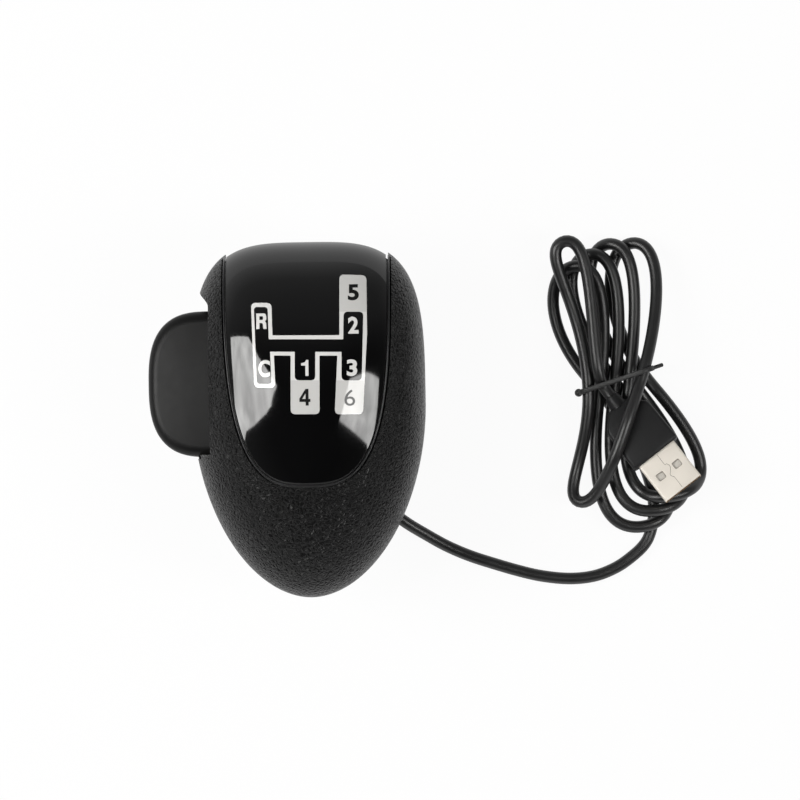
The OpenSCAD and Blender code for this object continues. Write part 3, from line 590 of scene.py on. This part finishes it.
def digit(char, x, y, wide, tall, bold):
    """Flat mesh of a mark, centred at x, y."""
    if char in DRAWN:
        return filled([[(x + wide * a, y + tall * b) for a, b in rounded(loop)] for loop in DRAWN[char]])
    curve = bpy.data.curves.new("digit", "FONT")
    curve.body, curve.offset, curve.resolution_u = char, bold, 6
    mesh = flat_mesh(curve)
    co = np.array([v.co for v in mesh.vertices])
    low, high = co.min(0), co.max(0)
    size = Matrix.Diagonal((wide / (high[0] - low[0]), tall / (high[1] - low[1]), 1, 1))
    mesh.transform(Matrix.Translation((x, y, 0)) @ size @ Matrix.Translation(-Vector((low + high) / 2)))
    return mesh


def paint(name, flats, lift, material):
    """Flat shapes cut into small facets, laid on the panel and given a little thickness."""
    bm = bmesh.new()
    for mesh in flats:
        bm.from_mesh(mesh)
    for axis, span in (((1, 0, 0), PAINT_X), ((0, 1, 0), PAINT_Y)):
        for at in np.arange(*span, FACET):
            everything = bm.verts[:] + bm.edges[:] + bm.faces[:]
            bmesh.ops.bisect_plane(bm, geom=everything, plane_co=Vector(axis) * float(at), plane_no=axis)
    bmesh.ops.remove_doubles(bm, verts=bm.verts[:], dist=PAINT_WELD)
    for v in bm.verts:
        v.co.z = float(head_height(v.co.x, v.co.y)) + lift
    for f in bm.faces:
        f.normal_update()
        if f.normal.z < 0:
            f.normal_flip()
    mesh = bpy.data.meshes.new(name)
    bm.to_mesh(mesh)
    bm.free()
    o = added(name, mesh)
    mod = o.modifiers.new("thick", "SOLIDIFY")
    mod.thickness, mod.offset = PAINT_T, -1
    o.data = baked(o)
    o.modifiers.clear()
    return place(o, material, sharp=40, on_head=True)


paint("gear_lines", [filled([rounded(OUTLINE), rounded(CORRIDOR)])], LINE_LIFT, pattern_white)
paint("gear_blocks", [filled([rounded(corners)]) for corners in BLOCKS], BLOCK_LIFT, pattern_silver)
for kind, (raised, material) in MARKS.items():
    paint("gear_marks_" + kind, [digit(*row[:6]) for row in DIGITS if row[6] == kind], raised, material)


# the two levers: each has a slab to press, a web, a hub on its pin and a fork round its switch's slider
PADDLE_AT, PADDLE_TILT, PADDLE_OUT = (-18, 9.8, 44), -7, -8.5
PADDLE_SLAB = {"hw": 19.5, "reach": 16.3, "root": 3.2, "n": 2.75, "thick": 10, "edge_r": 3}
PADDLE_WEB, PADDLE_HUB, PADDLE_FORK = (-6.2, 0, -12.2, 12.2, -3.8, 3.8), (4.4, 25), (8.6, 6.6)
FLAP_AT, FLAP_TILT, FLAP_OUT = (0, 29, 40), -5, 9
FLAP_SLAB = {"hw": 18, "reach": 7.4, "root": 3.1, "n": 4, "thick": 9, "edge_r": 2.4}
FLAP_WEB, FLAP_HUB, FLAP_FORK = (-11.8, 11.8, 0, 6.8, -3.4, 3.4), (4.2, 24.2), (12.6, 10.6)
FORK_HW, FORK_SLOT, FORK_HL, FORK_FLOOR = 2.9, 1.3, 2.5, 0.4


def end_slab(hw, reach, root, n, thick, edge_r, steps=72, arcs=8):
    """Slab with a rounded edge: superelliptic end towards -X and a straight root."""
    t = np.radians(np.linspace(90, 270, steps + 1))
    rings = []
    for s in (-1, 1):
        for a in np.radians(np.linspace(90, 0, arcs) if s < 0 else np.linspace(0, 90, arcs)):
            d = edge_r * (1 - math.cos(a))
            w = hw - d
            r = superellipse(t, reach - d, w, n)
            plan = [*np.stack([r * np.cos(t), r * np.sin(t)], -1), (root, -w), (root, w)]
            rings.append([(x, y, s * (thick / 2 - edge_r + edge_r * math.sin(a))) for x, y in plan])
    return loft(rings)


def fork(top_z, low_z):
    """Post on the hub with two prongs above low_z."""
    split = low_z - FORK_FLOOR
    return joined([
        block(-FORK_HW, FORK_HW, -FORK_HL, FORK_HL, 0, split),
        block(-FORK_HW, -FORK_SLOT, -FORK_HL, FORK_HL, split, top_z),
        block(FORK_SLOT, FORK_HW, -FORK_HL, FORK_HL, split, top_z),
    ])


paddle = joined([
    moved(end_slab(**PADDLE_SLAB), Matrix.Translation((PADDLE_OUT, 0, 0))),
    block(*PADDLE_WEB),
    moved(rod(*PADDLE_HUB), turned(90, "X")),
    fork(*PADDLE_FORK),
])
paddle = solid(moved(paddle, Matrix.Translation(PADDLE_AT) @ turned(PADDLE_TILT, "Y")), "paddle")
place(paddle, lever_black, "splitter", ["splitter_paddle"], sharp=25)

flap = joined([
    moved(end_slab(**FLAP_SLAB), Matrix.Translation((0, FLAP_OUT, 0)) @ turned(-90, "Z")),
    block(*FLAP_WEB),
    moved(rod(*FLAP_HUB), turned(90, "Y")),
    moved(fork(*FLAP_FORK), turned(90, "Z")),
])
flap = solid(moved(flap, Matrix.Translation(FLAP_AT) @ turned(FLAP_TILT, "X")), "range_flap")
place(flap, lever_black, "range", ["range_lever"], sharp=25)

# cable: the free lead and the tied hank, one tube
LOW, HIGH, TIE_LIFT = 1.7, 5.8, 1.5
HANK_AT = np.array((84.8, 7.5))
TIE_AZ, TIE_V, TIE_GAP, TIE_T, TIE_W = math.radians(17.7), 2.2, 0.85, 0.6, 1.4


def az_point(r):
    """Point of the lead at a radius from the neck's axis."""
    az = math.radians(LEAD_DEG)
    return (r * math.cos(az), r * math.sin(az), LEAD_Z)


# the free lead, from inside the neck to the hank
LEAD = [
    az_point(16.4), az_point(24), az_point(31), (22.4, -26.4, 5.9), (26, -29.2, 5.1), (31.5, -32.6, 3.2),
    (36.7, -35.6, 2.1), (43, -38.4, 1.7), (49.8, -40.7, 1.7), (56.7, -42.8, 1.7), (63, -44.3, 1.7),
    (70.6, -45.1, 1.7), (77.6, -44.4, 1.7), (83.5, -42.1, 1.7), (87.2, -39.6, 1.7), (90.3, -37, 1.7),
    (92.2, -34.5, 1.7), (93.2, -31.4, 1.7),
]
# each crossing of the waist: place across it, height and heading
WAISTS = [
    (-6.2, LOW, 135), (-5.4, HIGH, -98), (-0.2, LOW, 127), (-1.5, HIGH, -98), (4.6, LOW, 128),
    (2.4, HIGH, -98), (9.4, LOW, 130), (4.8, 13.6, -110), (-8.8, 9, 92), (-4.6, 9.8, -53),
]
# each lobe: tip across and along, heading there, four handles, heights by share of the lobe
LOBES = [
    (-12.4, 33.4, 14, 20, 8.5, 8.5, 20, [(0.7, LOW), (1, 8.3), (1.2, 8.3), (1.7, HIGH)]),
    (4.6, -38.6, 3, 22, 12, 14, 27, [(1.14, HIGH), (1.4, LOW)]),
    (-8, 36.6, 12, 22, 8.5, 9, 20, [(0.78, LOW), (1.05, 7), (1.6, HIGH)]),
    (8.6, -34.2, 5, 20, 12, 13, 28, [(0.7, HIGH), (1, 8.4), (1.12, 8.4), (1.46, LOW)]),
    (-2.6, 39.4, 8, 22, 8.5, 9, 20, [(0.84, LOW), (1.07, 6.8), (1.6, HIGH)]),
    (12.4, -30.4, 7, 18, 12, 11, 30, [(0.7, HIGH), (1, 10.9), (1.12, 10.9), (1.5, LOW)]),
    (4.2, 39.6, 5, 22, 9, 9, 20, [(0.88, LOW), (1.16, 6.2), (1.5, 7.2)]),
    (-11.4, -31.6, 165, 12, 6, 6, 18,
        [(0.1, 15.2), (0.26, 17.2), (0.42, 17.4), (0.85, 10), (1.3, 5.6), (1.5, 5.6), (1.85, 9)]),
    (-15, 40.2, 18, 24, 8, 10, 7, [(0.3, 9), (0.8, 12.6), (1.78, 12.6)]),
]
RUN_HEADING, RUN_HANDLE, WAIST_HEADING, WAIST_HANDLE = 72, 8, 128, 22
# share of a lobe and of the run over which the tie lifts the cord, and points in half a lobe
LOBE_RISE, RUN_RISE, HALF_LOBE = 0.5, 0.35, 40
PLUG_AZ, PLUG_TILT, CABLE_END, RELIEF_L, BODY_L = -53, 7, 3.3, 3.2, 17.0
SHELL_X = CABLE_END + RELIEF_L + BODY_L
# spacing of the cord's rings, least gap between strands, and the run within which points are on one strand
CABLE_STEP, CORD_GAP, TURN_RUN = 0.9, 0.5, 9.0
# heights are held this near the tie and at the last rings; the plug takes this length and half width
TIE_ROOM, END_RINGS, PLUG_ROOM = 3.0, 3, (37.0, 9.6)
# easing of the heights: steps, shares of the pull and the bend in each, and smoothing passes at the end
EASE_STEPS, PULL_SHARE, BEND_SHARE, LAST_PASSES = 1500, 0.02, 0.06, 4
# a direction that no tube starts along
ANY_UP = (0.13, 0.29, 0.95)


def heading(a):
    """Unit vector in plan at an angle in degrees."""
    return np.array((math.cos(math.radians(a)), math.sin(math.radians(a))))


def bezier(p, t):
    return (1 - t) ** 3 * p[0] + 3 * t * (1 - t) ** 2 * p[1] + 3 * t * t * (1 - t) * p[2] + t**3 * p[3]


def eased(steps, t):
    """Value at t between (t, value) steps, level at each of them."""
    for a, b in zip(steps, steps[1:]):
        if t <= b[0] or b is steps[-1]:
            s = (t - a[0]) / (b[0] - a[0])
            return a[1] + (b[1] - a[1]) * s * s * (3 - 2 * s)


def lift(s):
    """Rise under the tie, at share s of the way from it."""
    return TIE_LIFT * (1 - s * s) ** 2 if s < 1 else 0.0


def lobe_point(k, t):
    """Point of lobe k: t is 0 at one crossing of the waist, 1 at the tip and 2 at the next crossing."""
    (from_x, from_z, from_heading), (to_x, to_z, to_heading) = WAISTS[k], WAISTS[k + 1]
    tip_x, tip_y, tip_heading, leave, reach, turn, back, heights = LOBES[k]
    start, end, tip = np.array((from_x, 0.0)), np.array((to_x, 0.0)), np.array((tip_x, tip_y))
    if t < 1:
        arc = [start, start + leave * heading(from_heading), tip - reach * heading(tip_heading), tip]
    else:
        arc = [tip, tip + turn * heading(tip_heading), end - back * heading(to_heading), end]
    xy = HANK_AT + bezier(arc, t if t < 1 else t - 1)
    return (*xy, eased([(0, from_z), *heights, (2, to_z)], t) + lift(min(t, 2 - t) / LOBE_RISE))


def run_point(t):
    """Point between the free lead's end and the first crossing of the waist."""
    start, end = np.array(LEAD[-1][:2]), HANK_AT + (WAISTS[0][0], 0)
    leave, back = RUN_HANDLE * heading(RUN_HEADING), WAIST_HANDLE * heading(WAIST_HEADING)
    return (*bezier([start, start + leave, end - back, end], t), LOW + lift((1 - t) / RUN_RISE))


def through(points, steps=8):
    """Catmull-Rom curve through points."""
    p = np.array([points[0], *points, points[-1]], float)
    out = []
    for a, b, c, d in zip(p, p[1:], p[2:], p[3:]):
        slope, square, cube = c - a, 2 * a - 5 * b + 4 * c - d, 3 * b - a - 3 * c + d
        for s in np.linspace(0, 1, steps, endpoint=False):
            out.append(0.5 * (2 * b + slope * s + square * s**2 + cube * s**3))
    return out


def evenly(points, spacing):
    """Points at even steps along a line, and the line's length."""
    points = np.asarray(points, float)
    run = np.concatenate([[0], np.cumsum(np.linalg.norm(np.diff(points, axis=0), axis=1))])
    at = np.linspace(0, run[-1], int(round(run[-1] / spacing)) + 1)
    return np.stack([np.interp(at, run, points[:, i]) for i in range(3)], -1), run[-1]


plug_root = np.array(lobe_point(len(LOBES) - 1, 2))
plug_rise = math.radians(PLUG_TILT)
plug_dir = np.array((*(heading(PLUG_AZ) * math.cos(plug_rise)), math.sin(plug_rise)))
hank = [run_point(i / HALF_LOBE) for i in range(HALF_LOBE)]
hank += [lobe_point(k, i / HALF_LOBE) for k in range(len(LOBES)) for i in range(2 * HALF_LOBE)]
hank = np.array([*hank, plug_root, plug_root + plug_dir * CABLE_END])


def settled(path):
    """The cord with its heights eased: strands that cross stay clear of each other, the tie and the plug."""
    run = np.arange(len(path)) * CABLE_STEP
    z, start = path[:, 2].copy(), path[:, 2]
    off_tie = (path[:, :2] - HANK_AT - (0, TIE_V)) @ (-math.sin(TIE_AZ), math.cos(TIE_AZ))
    ahead = (path[:, :2] - plug_root[:2]) @ heading(PLUG_AZ)
    aside = (path[:, :2] - plug_root[:2]) @ heading(PLUG_AZ + 90)
    by_plug = (ahead > 0) & (ahead < PLUG_ROOM[0]) & (abs(aside) < PLUG_ROOM[1])
    over, under = by_plug & (start >= plug_root[2]), by_plug & (start < plug_root[2])
    free = (abs(off_tie) > TIE_ROOM) & (run > evenly(through(LEAD), CABLE_STEP)[1])
    free[-END_RINGS:] = False
    i, j = np.triu_indices(len(path), int(TURN_RUN / CABLE_STEP))
    apart = np.linalg.norm(path[i, :2] - path[j, :2], axis=1)
    near = apart < 2 * CABLE_R + CORD_GAP
    i, j = i[near], j[near]
    upper, lower = np.where(z[i] > z[j], i, j), np.where(z[i] > z[j], j, i)
    need = np.sqrt((2 * CABLE_R + CORD_GAP) ** 2 - apart[near] ** 2)
    for _ in range(EASE_STEPS):
        pull = np.zeros(len(z))
        pull[1:-1] = np.diff(z, 2)
        bend = np.zeros(len(z))
        bend[1:-1] = np.diff(pull, 2)
        z = np.where(free, z + PULL_SHARE * pull - BEND_SHARE * bend, z)
        short = np.maximum(need - (z[upper] - z[lower]), 0) / 2
        rise, drop = np.zeros(len(z)), np.zeros(len(z))
        np.maximum.at(rise, upper, short)
        np.maximum.at(drop, lower, short)
        z = np.where(free, np.maximum(z + rise - drop, LOW), z)
        z = np.where(over, np.maximum(z, start), np.where(under, np.minimum(z, start), z))
    path = np.column_stack([path[:, :2], z])
    for _ in range(LAST_PASSES):
        path[1:-1] = (path[:-2] + 2 * path[1:-1] + path[2:]) / 4
    return evenly(path, CABLE_STEP)


path, cable_length = settled(evenly([*through(LEAD), *hank], CABLE_STEP)[0])


def tube(path, r, sides=16):
    """Skin of a round cord along a path, without twist."""
    along = directions(path)
    up = np.cross(along[0], ANY_UP)
    a = np.linspace(0, 2 * math.pi, sides, endpoint=False)
    rings = []
    for p, d in zip(path, along):
        up = up - (up @ d) * d
        up /= np.linalg.norm(up)
        side = np.cross(d, up)
        rings.append(p + r * (np.cos(a)[:, None] * up + np.sin(a)[:, None] * side))
    return loft(rings)


cable = place(
    solid(tube(path, CABLE_R), "usb_cable"), cable_black, stands_for=["cable_lead", "cable_hank"],
    sharp=50,
)

# tie round the hank's waist: a flat band, its head at the left and its cut tail at the right
BAND_SIDES, BAND_POWER, STRAND_SIDES = 14, 0.6, 48
TIE_HEAD_Z, TIE_HEAD_R = 10.5, 1.1
TAIL_Z, TAIL_IN, TAIL_L, TAIL_SAG, TAIL_R, TAIL_STEPS, TAIL_SIDES = 14, 0.3, 2.9, 0.15, 0.55, 12, 12


def tie_place(along, up, out=0.0):
    """Point of the tie: along its plane, up, and out of the plane."""
    c, s = math.cos(TIE_AZ), math.sin(TIE_AZ)
    return (HANK_AT[0] + along * c + out * s, HANK_AT[1] + TIE_V + along * s - out * c, up)


def hull_2d(points):
    """Convex outline round points."""
    points = sorted(map(tuple, points))
    halves = []
    for run in (points, points[::-1]):
        chain = []
        for p in run:
            while len(chain) > 1 and (
                (chain[-1][0] - chain[-2][0]) * (p[1] - chain[-2][1])
                - (chain[-1][1] - chain[-2][1]) * (p[0] - chain[-2][0])
            ) <= 0:
                chain.pop()
            chain.append(p)
        halves += chain[:-1]
    return halves


# the strands where they go through the tie's plane, whose heights the easing leaves as drawn
tie_c, tie_s = math.cos(TIE_AZ), math.sin(TIE_AZ)
from_tie = hank[:, :2] - HANK_AT - (0, TIE_V)
off = from_tie[:, 1] * tie_c - from_tie[:, 0] * tie_s
cuts = []
for i in np.nonzero(off[:-1] * off[1:] <= 0)[0]:
    q = hank[i] + (hank[i + 1] - hank[i]) * off[i] / (off[i] - off[i + 1])
    cuts.append(((q[1] - HANK_AT[1] - TIE_V) * tie_s + (q[0] - HANK_AT[0]) * tie_c, q[2]))
strand = circle(CABLE_R + TIE_GAP + TIE_T / 2, 0, STRAND_SIDES)[:, :2]
loop = np.array(hull_2d([(x + a, z + b) for x, z in cuts for a, b in strand]))
ends = np.roll(loop, -1, 0) - np.roll(loop, 1, 0)
out_dir = np.stack([ends[:, 1], -ends[:, 0]], -1) / np.linalg.norm(ends, axis=1, keepdims=True)
band = []
for (x, z), (nx, nz) in zip(loop, out_dir):
    ring = []
    for c, s, _ in circle(1, 0, BAND_SIDES):
        wide = TIE_W / 2 * math.copysign(abs(c) ** BAND_POWER, c)
        thick = TIE_T / 2 * math.copysign(abs(s) ** BAND_POWER, s)
        ring.append(tie_place(x + nx * thick, z + nz * thick, wide))
    band.append(ring)
left, right = loop[:, 0].min(), loop[:, 0].max()


def ball(centre, r, sides=24, rings=13):
    tilts = np.radians(np.linspace(-85, 85, rings))
    return loft([circle(r * math.cos(e), r * math.sin(e), sides) + centre for e in tilts])


tail_s = np.linspace(0, TAIL_L, TAIL_STEPS)
tail = [tie_place(right - TAIL_IN + s, TAIL_Z - TAIL_SAG * s * s) for s in tail_s]
tie_head = ball(tie_place(left, TIE_HEAD_Z), TIE_HEAD_R)
tie = solid(joined([loft(band, looped=True), tie_head, tube(tail, TAIL_R, TAIL_SIDES)]), "hank_band")
place(tie, tie_black, stands_for=["hank_tie"], sharp=50)

# plug; each station of its overmould and its relief is a distance and half sizes
BODY_STATIONS = [
    (0.0, 3.1, 1.4), (0.1, 3.5, 1.8), (0.4, 3.85, 2.1), (1.0, 4.2, 2.32), (2.2, 5.4, 2.5),
    (3.4, 6.5, 2.72), (4.0, 6.95, 2.83), (4.6, 7.17, 2.92), (6, 7.23, 2.99), (11, 7.37, 3.25),
    (16, 7.5, 3.5), (16.6, 7.42, 3.42), (16.9, 7.2, 3.2), (17, 6.8, 2.8),
]
BODY_ROUND, BODY_ROUND_SHARE, RELIEF_SIDES = 1.0, 0.6, 24
RELIEF_STATIONS = [(0, 1.85), (0.15, 2.05), (1.6, 2.25), (RELIEF_L + 0.6, 2.45)]
SHELL_W, SHELL_H, SHELL_L, SHELL_T = 12.0, 4.5, 12.0, 0.35
SHELL_ROUND, SHELL_ROUND_IN, SHELL_FLOOR, SHELL_OPEN = 0.55, 0.25, 0.5, 2
# faces beyond this depth and within this much of the shell's inner walls are inside it, and are painted dark
# brown as the shade inside the mouth
INSIDE_X, INSIDE_SLACK = 0.4, 0.01
WINDOW_X, WINDOW_Y, WINDOW_HL, WINDOW_HW, WINDOW_R, WINDOW_CUT = 5.65, 2.75, 1.05, 1.2, 0.4, 4
# painted shade: a dark edge round the inside of each window, where the hole's rim lies in shade; and the
# dark fold line along the shell's top, a joint in the shell
WINDOW_EDGE, EDGE_DEEP, EDGE_PROUD = 0.14, 0.2, 0.01
FOLD = [
    (0.3, 0), (3.6, 0), (3.9, 0.5), (4.9, 0.9), (6.1, 0.2), (6.9, -0.5), (7.8, -0.2), (8.2, 0), (11.8, 0),
]
FOLD_LIFT, FOLD_HW, FOLD_DEEP, FOLD_PROUD = 0.005, 0.07, 0.05, 0.01
plug_frame = Matrix.Translation(plug_root) @ turned(PLUG_AZ, "Z") @ turned(-PLUG_TILT, "Y")


def plug_at(x):
    return plug_frame @ Matrix.Translation((x, 0, 0))


def rounded_section(hw, hh, r, steps=6):
    out = []
    for cx, cy, a0 in ((1, 1, 0), (-1, 1, 90), (-1, -1, 180), (1, -1, 270)):
        for a in np.radians(np.linspace(a0, a0 + 90, steps)):
            out.append((cx * (hw - r) + r * math.cos(a), cy * (hh - r) + r * math.sin(a)))
    return out


def body_ring(x, hw, hh):
    """Ring of the overmould at one station."""
    section = rounded_section(hw, hh, min(BODY_ROUND, hh * BODY_ROUND_SHARE))
    return [(x, y, z) for y, z in section]


body = loft([body_ring(*station) for station in BODY_STATIONS])
relief = loft([[(x, y, z) for y, z, _ in circle(r, 0, RELIEF_SIDES)] for x, r in RELIEF_STATIONS])
body = joined([moved(body, plug_at(CABLE_END + RELIEF_L)), moved(relief, plug_at(CABLE_END))])
plug_body = solid(body, "plug_mould")
place(plug_body, plug_black, stands_for=["plug_body"], sharp=40)


def shell_block(hw, hh, r, x0, x1):
    return loft([[(x, y, z) for y, z in rounded_section(hw, hh, r)] for x in (x0, x1)])


def window(y, grow, z):
    """Outline of a window in the shell."""
    section = rounded_section(WINDOW_HL + grow, WINDOW_HW + grow, WINDOW_R)
    return [(WINDOW_X + a, y + b, z) for a, b in section]


inner_hw, inner_hh = SHELL_W / 2 - SHELL_T, SHELL_H / 2 - SHELL_T
shell = solid(shell_block(SHELL_W / 2, SHELL_H / 2, SHELL_ROUND, 0, SHELL_L), "plug_case")
carve(shell, solid(shell_block(inner_hw, inner_hh, SHELL_ROUND_IN, SHELL_FLOOR, SHELL_L + SHELL_OPEN)))
edge_low, edge_top = SHELL_H / 2 - EDGE_DEEP, SHELL_H / 2 + EDGE_PROUD
edge_ring = [(0, edge_low), (0, edge_top), (-WINDOW_EDGE, edge_top), (-WINDOW_EDGE, edge_low)]
edges = []
for y in (-WINDOW_Y, WINDOW_Y):
    carve(shell, solid(loft([window(y, 0, z) for z in (-WINDOW_CUT, WINDOW_CUT)])))
    edges.append(moved(loft([window(y, grow, z) for grow, z in edge_ring], looped=True), plug_at(SHELL_X)))
shell.data.transform(plug_at(SHELL_X))
to_shell = plug_at(SHELL_X).inverted()
inside = []
for face in shell.data.polygons:
    c = to_shell @ face.center
    within = abs(c.y) < inner_hw + INSIDE_SLACK and abs(c.z) < inner_hh + INSIDE_SLACK
    inside.append(int(within and c.x > INSIDE_X))
place(shell, plug_steel, stands_for=["plug_shell"], sharp=30)
# the inner faces take the painted shade of the mouth's interior
shell.data.materials.append(plug_inside_painted_shade)
shell.data.polygons.foreach_set("material_index", inside)

fold = np.array(through([(x, y, SHELL_H / 2 + FOLD_LIFT) for x, y in FOLD]))
fold_ring = [(-FOLD_HW, -FOLD_DEEP), (FOLD_HW, -FOLD_DEEP), (FOLD_HW, FOLD_PROUD), (-FOLD_HW, FOLD_PROUD)]
strip = [
    [(x - out * along_y, y + out * along_x, z + up) for out, up in fold_ring]
    for (x, y, z), (along_x, along_y, _) in zip(fold, directions(fold))
]
# the fold line and the windows' painted-shade edges, as one piece
seam = solid(joined([moved(loft(strip), plug_at(SHELL_X)), *edges]), "plug_fold_and_window_shade")
place(seam, fold_and_window_shade)

# materials of the CAD nodes that are shown as they are
BY_NODE = {
    "core_frame": "frame_grey", "housing_screws": "screw_steel", "frame_screws": "screw_steel",
    "board_screws": "screw_steel", "lever_sleeve": "sleeve_metal", "clamp_screws": "clamp_steel",
    "splitter_pin": "pin_steel", "range_pin": "pin_steel", "circuit_board": "board_green",
    "controller_chip": "chip_black", "lead_connector": "connector_white", "splitter_case": "switch_black",
    "range_case": "switch_black", "splitter_slider": "slider_white", "range_slider": "slider_white",
    "inner_lead": "cable_black", "lead_grommet": "grommet_black", "plug_tongue": "tongue_beige",
    "plug_contacts": "contact_gold",
}
for name, slot in BY_NODE.items():
    nodes[name].data.materials.clear()
    nodes[name].data.materials.append(SLOTS[slot])


# ground, surroundings and light
FLOOR_HALF, FLOOR_DROP, FLOOR_GREY, FLOOR_SHARE = 6, 0.0001, 0.85, 0.94
SKY_LOW, SKY_MIDDLE, SKY_HIGH = (0.0, 0.65, 0.65, 0.65), (0.45, 0.2, 0.2, 0.2), (0.9, 0.04, 0.04, 0.042)
# each: from, to, level at the first and level at the second
RIGHT_DIM, FRONT_LIGHT = (-0.1, 0.7, 1.0, 0.35), (0.0, 0.5, 0.0, 0.2)
REAR_LIGHT, REAR_LOW = (-0.65, -1.0, 0.0, 1.6), (0.12, 0.4, 1.0, 0.2)


def emitter(name, colour, strength):
    m = bpy.data.materials.new(name)
    m.use_nodes = True
    tree = m.node_tree
    tree.nodes.remove(tree.nodes["Principled BSDF"])
    glow = tree.nodes.new("ShaderNodeEmission")
    glow.inputs["Color"].default_value = (*colour, 1)
    glow.inputs["Strength"].default_value = strength
    tree.links.new(glow.outputs[0], tree.nodes["Material Output"].inputs[0])
    return m


# the floor shows white to the camera and in reflections, and is a plain pale ground for light
corners = [(FLOOR_HALF * x, FLOOR_HALF * y, -FLOOR_DROP) for x, y in ((-1, -1), (1, -1), (1, 1), (-1, 1))]
floor = make("ground", corners, [(0, 1, 2, 3)])
ground = emitter("ground_white", (1, 1, 1), 1.0)
tree = ground.node_tree
add, link = tree.nodes.new, tree.links.new
pale = add("ShaderNodeBsdfDiffuse")
pale.inputs["Color"].default_value = (FLOOR_GREY, FLOOR_GREY, FLOOR_GREY, 1)
rays = add("ShaderNodeLightPath")
share = rays.outputs["Is Camera Ray"]
for how, ray in (("MAXIMUM", "Is Glossy Ray"), ("MAXIMUM", "Is Transmission Ray"), ("MULTIPLY", None)):
    step = add("ShaderNodeMath")
    step.operation = how
    step.inputs[1].default_value = FLOOR_SHARE
    link(share, step.inputs[0])
    if ray:
        link(rays.outputs[ray], step.inputs[1])
    share = step.outputs[0]
mixed = add("ShaderNodeMixShader")
link(share, mixed.inputs[0])
link(pale.outputs[0], mixed.inputs[1])
link(node_of(tree, "EMISSION").outputs[0], mixed.inputs[2])
link(mixed.outputs[0], tree.nodes["Material Output"].inputs[0])
floor.data.materials.append(ground)

# darker upwards and to the right, with soft light from beyond the front and low behind the rear
world = bpy.data.worlds.new("surroundings")
scene.world = world
world.use_nodes = True
tree = world.node_tree
tree.nodes.clear()
add, link = tree.nodes.new, tree.links.new
where = add("ShaderNodeTexCoord")
parts = add("ShaderNodeSeparateXYZ")
link(where.outputs["Generated"], parts.inputs[0])
ramp = add("ShaderNodeValToRGB")
levels = ramp.color_ramp.elements
levels[1].position = SKY_HIGH[0]
levels.new(SKY_MIDDLE[0])
for level, (_, *colour) in zip(levels, (SKY_LOW, SKY_MIDDLE, SKY_HIGH)):
    level.color = (*colour, 1)
link(parts.outputs["Z"], ramp.inputs["Fac"])
dim = add("ShaderNodeBackground")
link(ramp.outputs["Color"], dim.inputs["Color"])
link(ranged(tree, parts.outputs["X"], *RIGHT_DIM, "LINEAR"), dim.inputs["Strength"])
ends = add("ShaderNodeMath")
ends.operation = "MULTIPLY_ADD"
link(ranged(tree, parts.outputs["Y"], *REAR_LIGHT), ends.inputs[0])
link(ranged(tree, parts.outputs["Z"], *REAR_LOW), ends.inputs[1])
link(ranged(tree, parts.outputs["Y"], *FRONT_LIGHT), ends.inputs[2])
beyond = add("ShaderNodeBackground")
link(ends.outputs[0], beyond.inputs["Strength"])
whole = add("ShaderNodeAddShader")
link(dim.outputs[0], whole.inputs[0])
link(beyond.outputs[0], whole.inputs[1])
link(whole.outputs[0], add("ShaderNodeOutputWorld").inputs[0])

# softboxes: each is laid where the panel's reflection of it, as the camera sees it, covers the listed points
EYE, CARD_FAR, CARD_TINT = (0.0244, 0.0048, 1.5), 0.9, (1, 0.995, 0.98)
CLOUD_SCALE, CLOUD_SPAN, CLOUD_DIM, CLOUD_LIT = 4, (0.3, 0.7), 0.72, 1.2
LEFT_GLARE = [
    (-20, 22), (-15.3, 22), (-12.6, 16.6), (-7.9, 9), (-10.8, 1.8), (-14, -1.3), (-16.2, -2.8),
    (-16.8, -5.6), (-16.4, -10), (-17, -9.4), (-18.2, -1.8), (-19.3, 7),
]
RIGHT_GLARE = [
    (11.2, 10.5), (15.7, 12.3), (19, 10.4), (18.7, 7), (17.6, -2.4), (16.3, -8), (13.7, -11.4),
    (15.7, -8.6), (15.5, -6.7), (12.3, -3.5), (8.3, -0.4),
]


def card(name, points, strength):
    """Softbox with clouded light, out of the camera's sight."""
    xy = np.array(points, float)
    at = np.column_stack([xy, head_height(xy[:, 0], xy[:, 1])])
    n = head_normal(at)
    sight = np.array(EYE) - at * MM
    sight /= np.linalg.norm(sight, axis=1, keepdims=True)
    corners = at * MM + CARD_FAR * (2 * (n * sight).sum(1, keepdims=True) * n - sight)
    o = make(name, corners, [tuple(range(len(corners)))])
    glow = emitter(name, CARD_TINT, strength)
    tree = glow.node_tree
    cloud = tree.nodes.new("ShaderNodeTexNoise")
    cloud.inputs["Scale"].default_value = CLOUD_SCALE
    lights = (CLOUD_DIM * strength, CLOUD_LIT * strength)
    level = ranged(tree, cloud.outputs["Fac"], *CLOUD_SPAN, *lights, "LINEAR")
    tree.links.new(level, node_of(tree, "EMISSION").inputs["Strength"])
    o.data.materials.append(glow)
    o.visible_camera = False
    return o


card("softbox_left", LEFT_GLARE, 11.5)
card("softbox_right", RIGHT_GLARE, 10)

# camera at the photo's view
LENS, SENSOR_W, CLIP, ROLL = 244.74, 36, (0.1, 20), -0.015
camera = bpy.data.cameras.new("camera")
camera.lens, camera.sensor_width = LENS, SENSOR_W
camera.clip_start, camera.clip_end = CLIP
eye = added("camera", camera)
eye.location = EYE
eye.rotation_euler = (0, 0, ROLL)
scene.camera = eye
scene.view_settings.view_transform = "Standard"
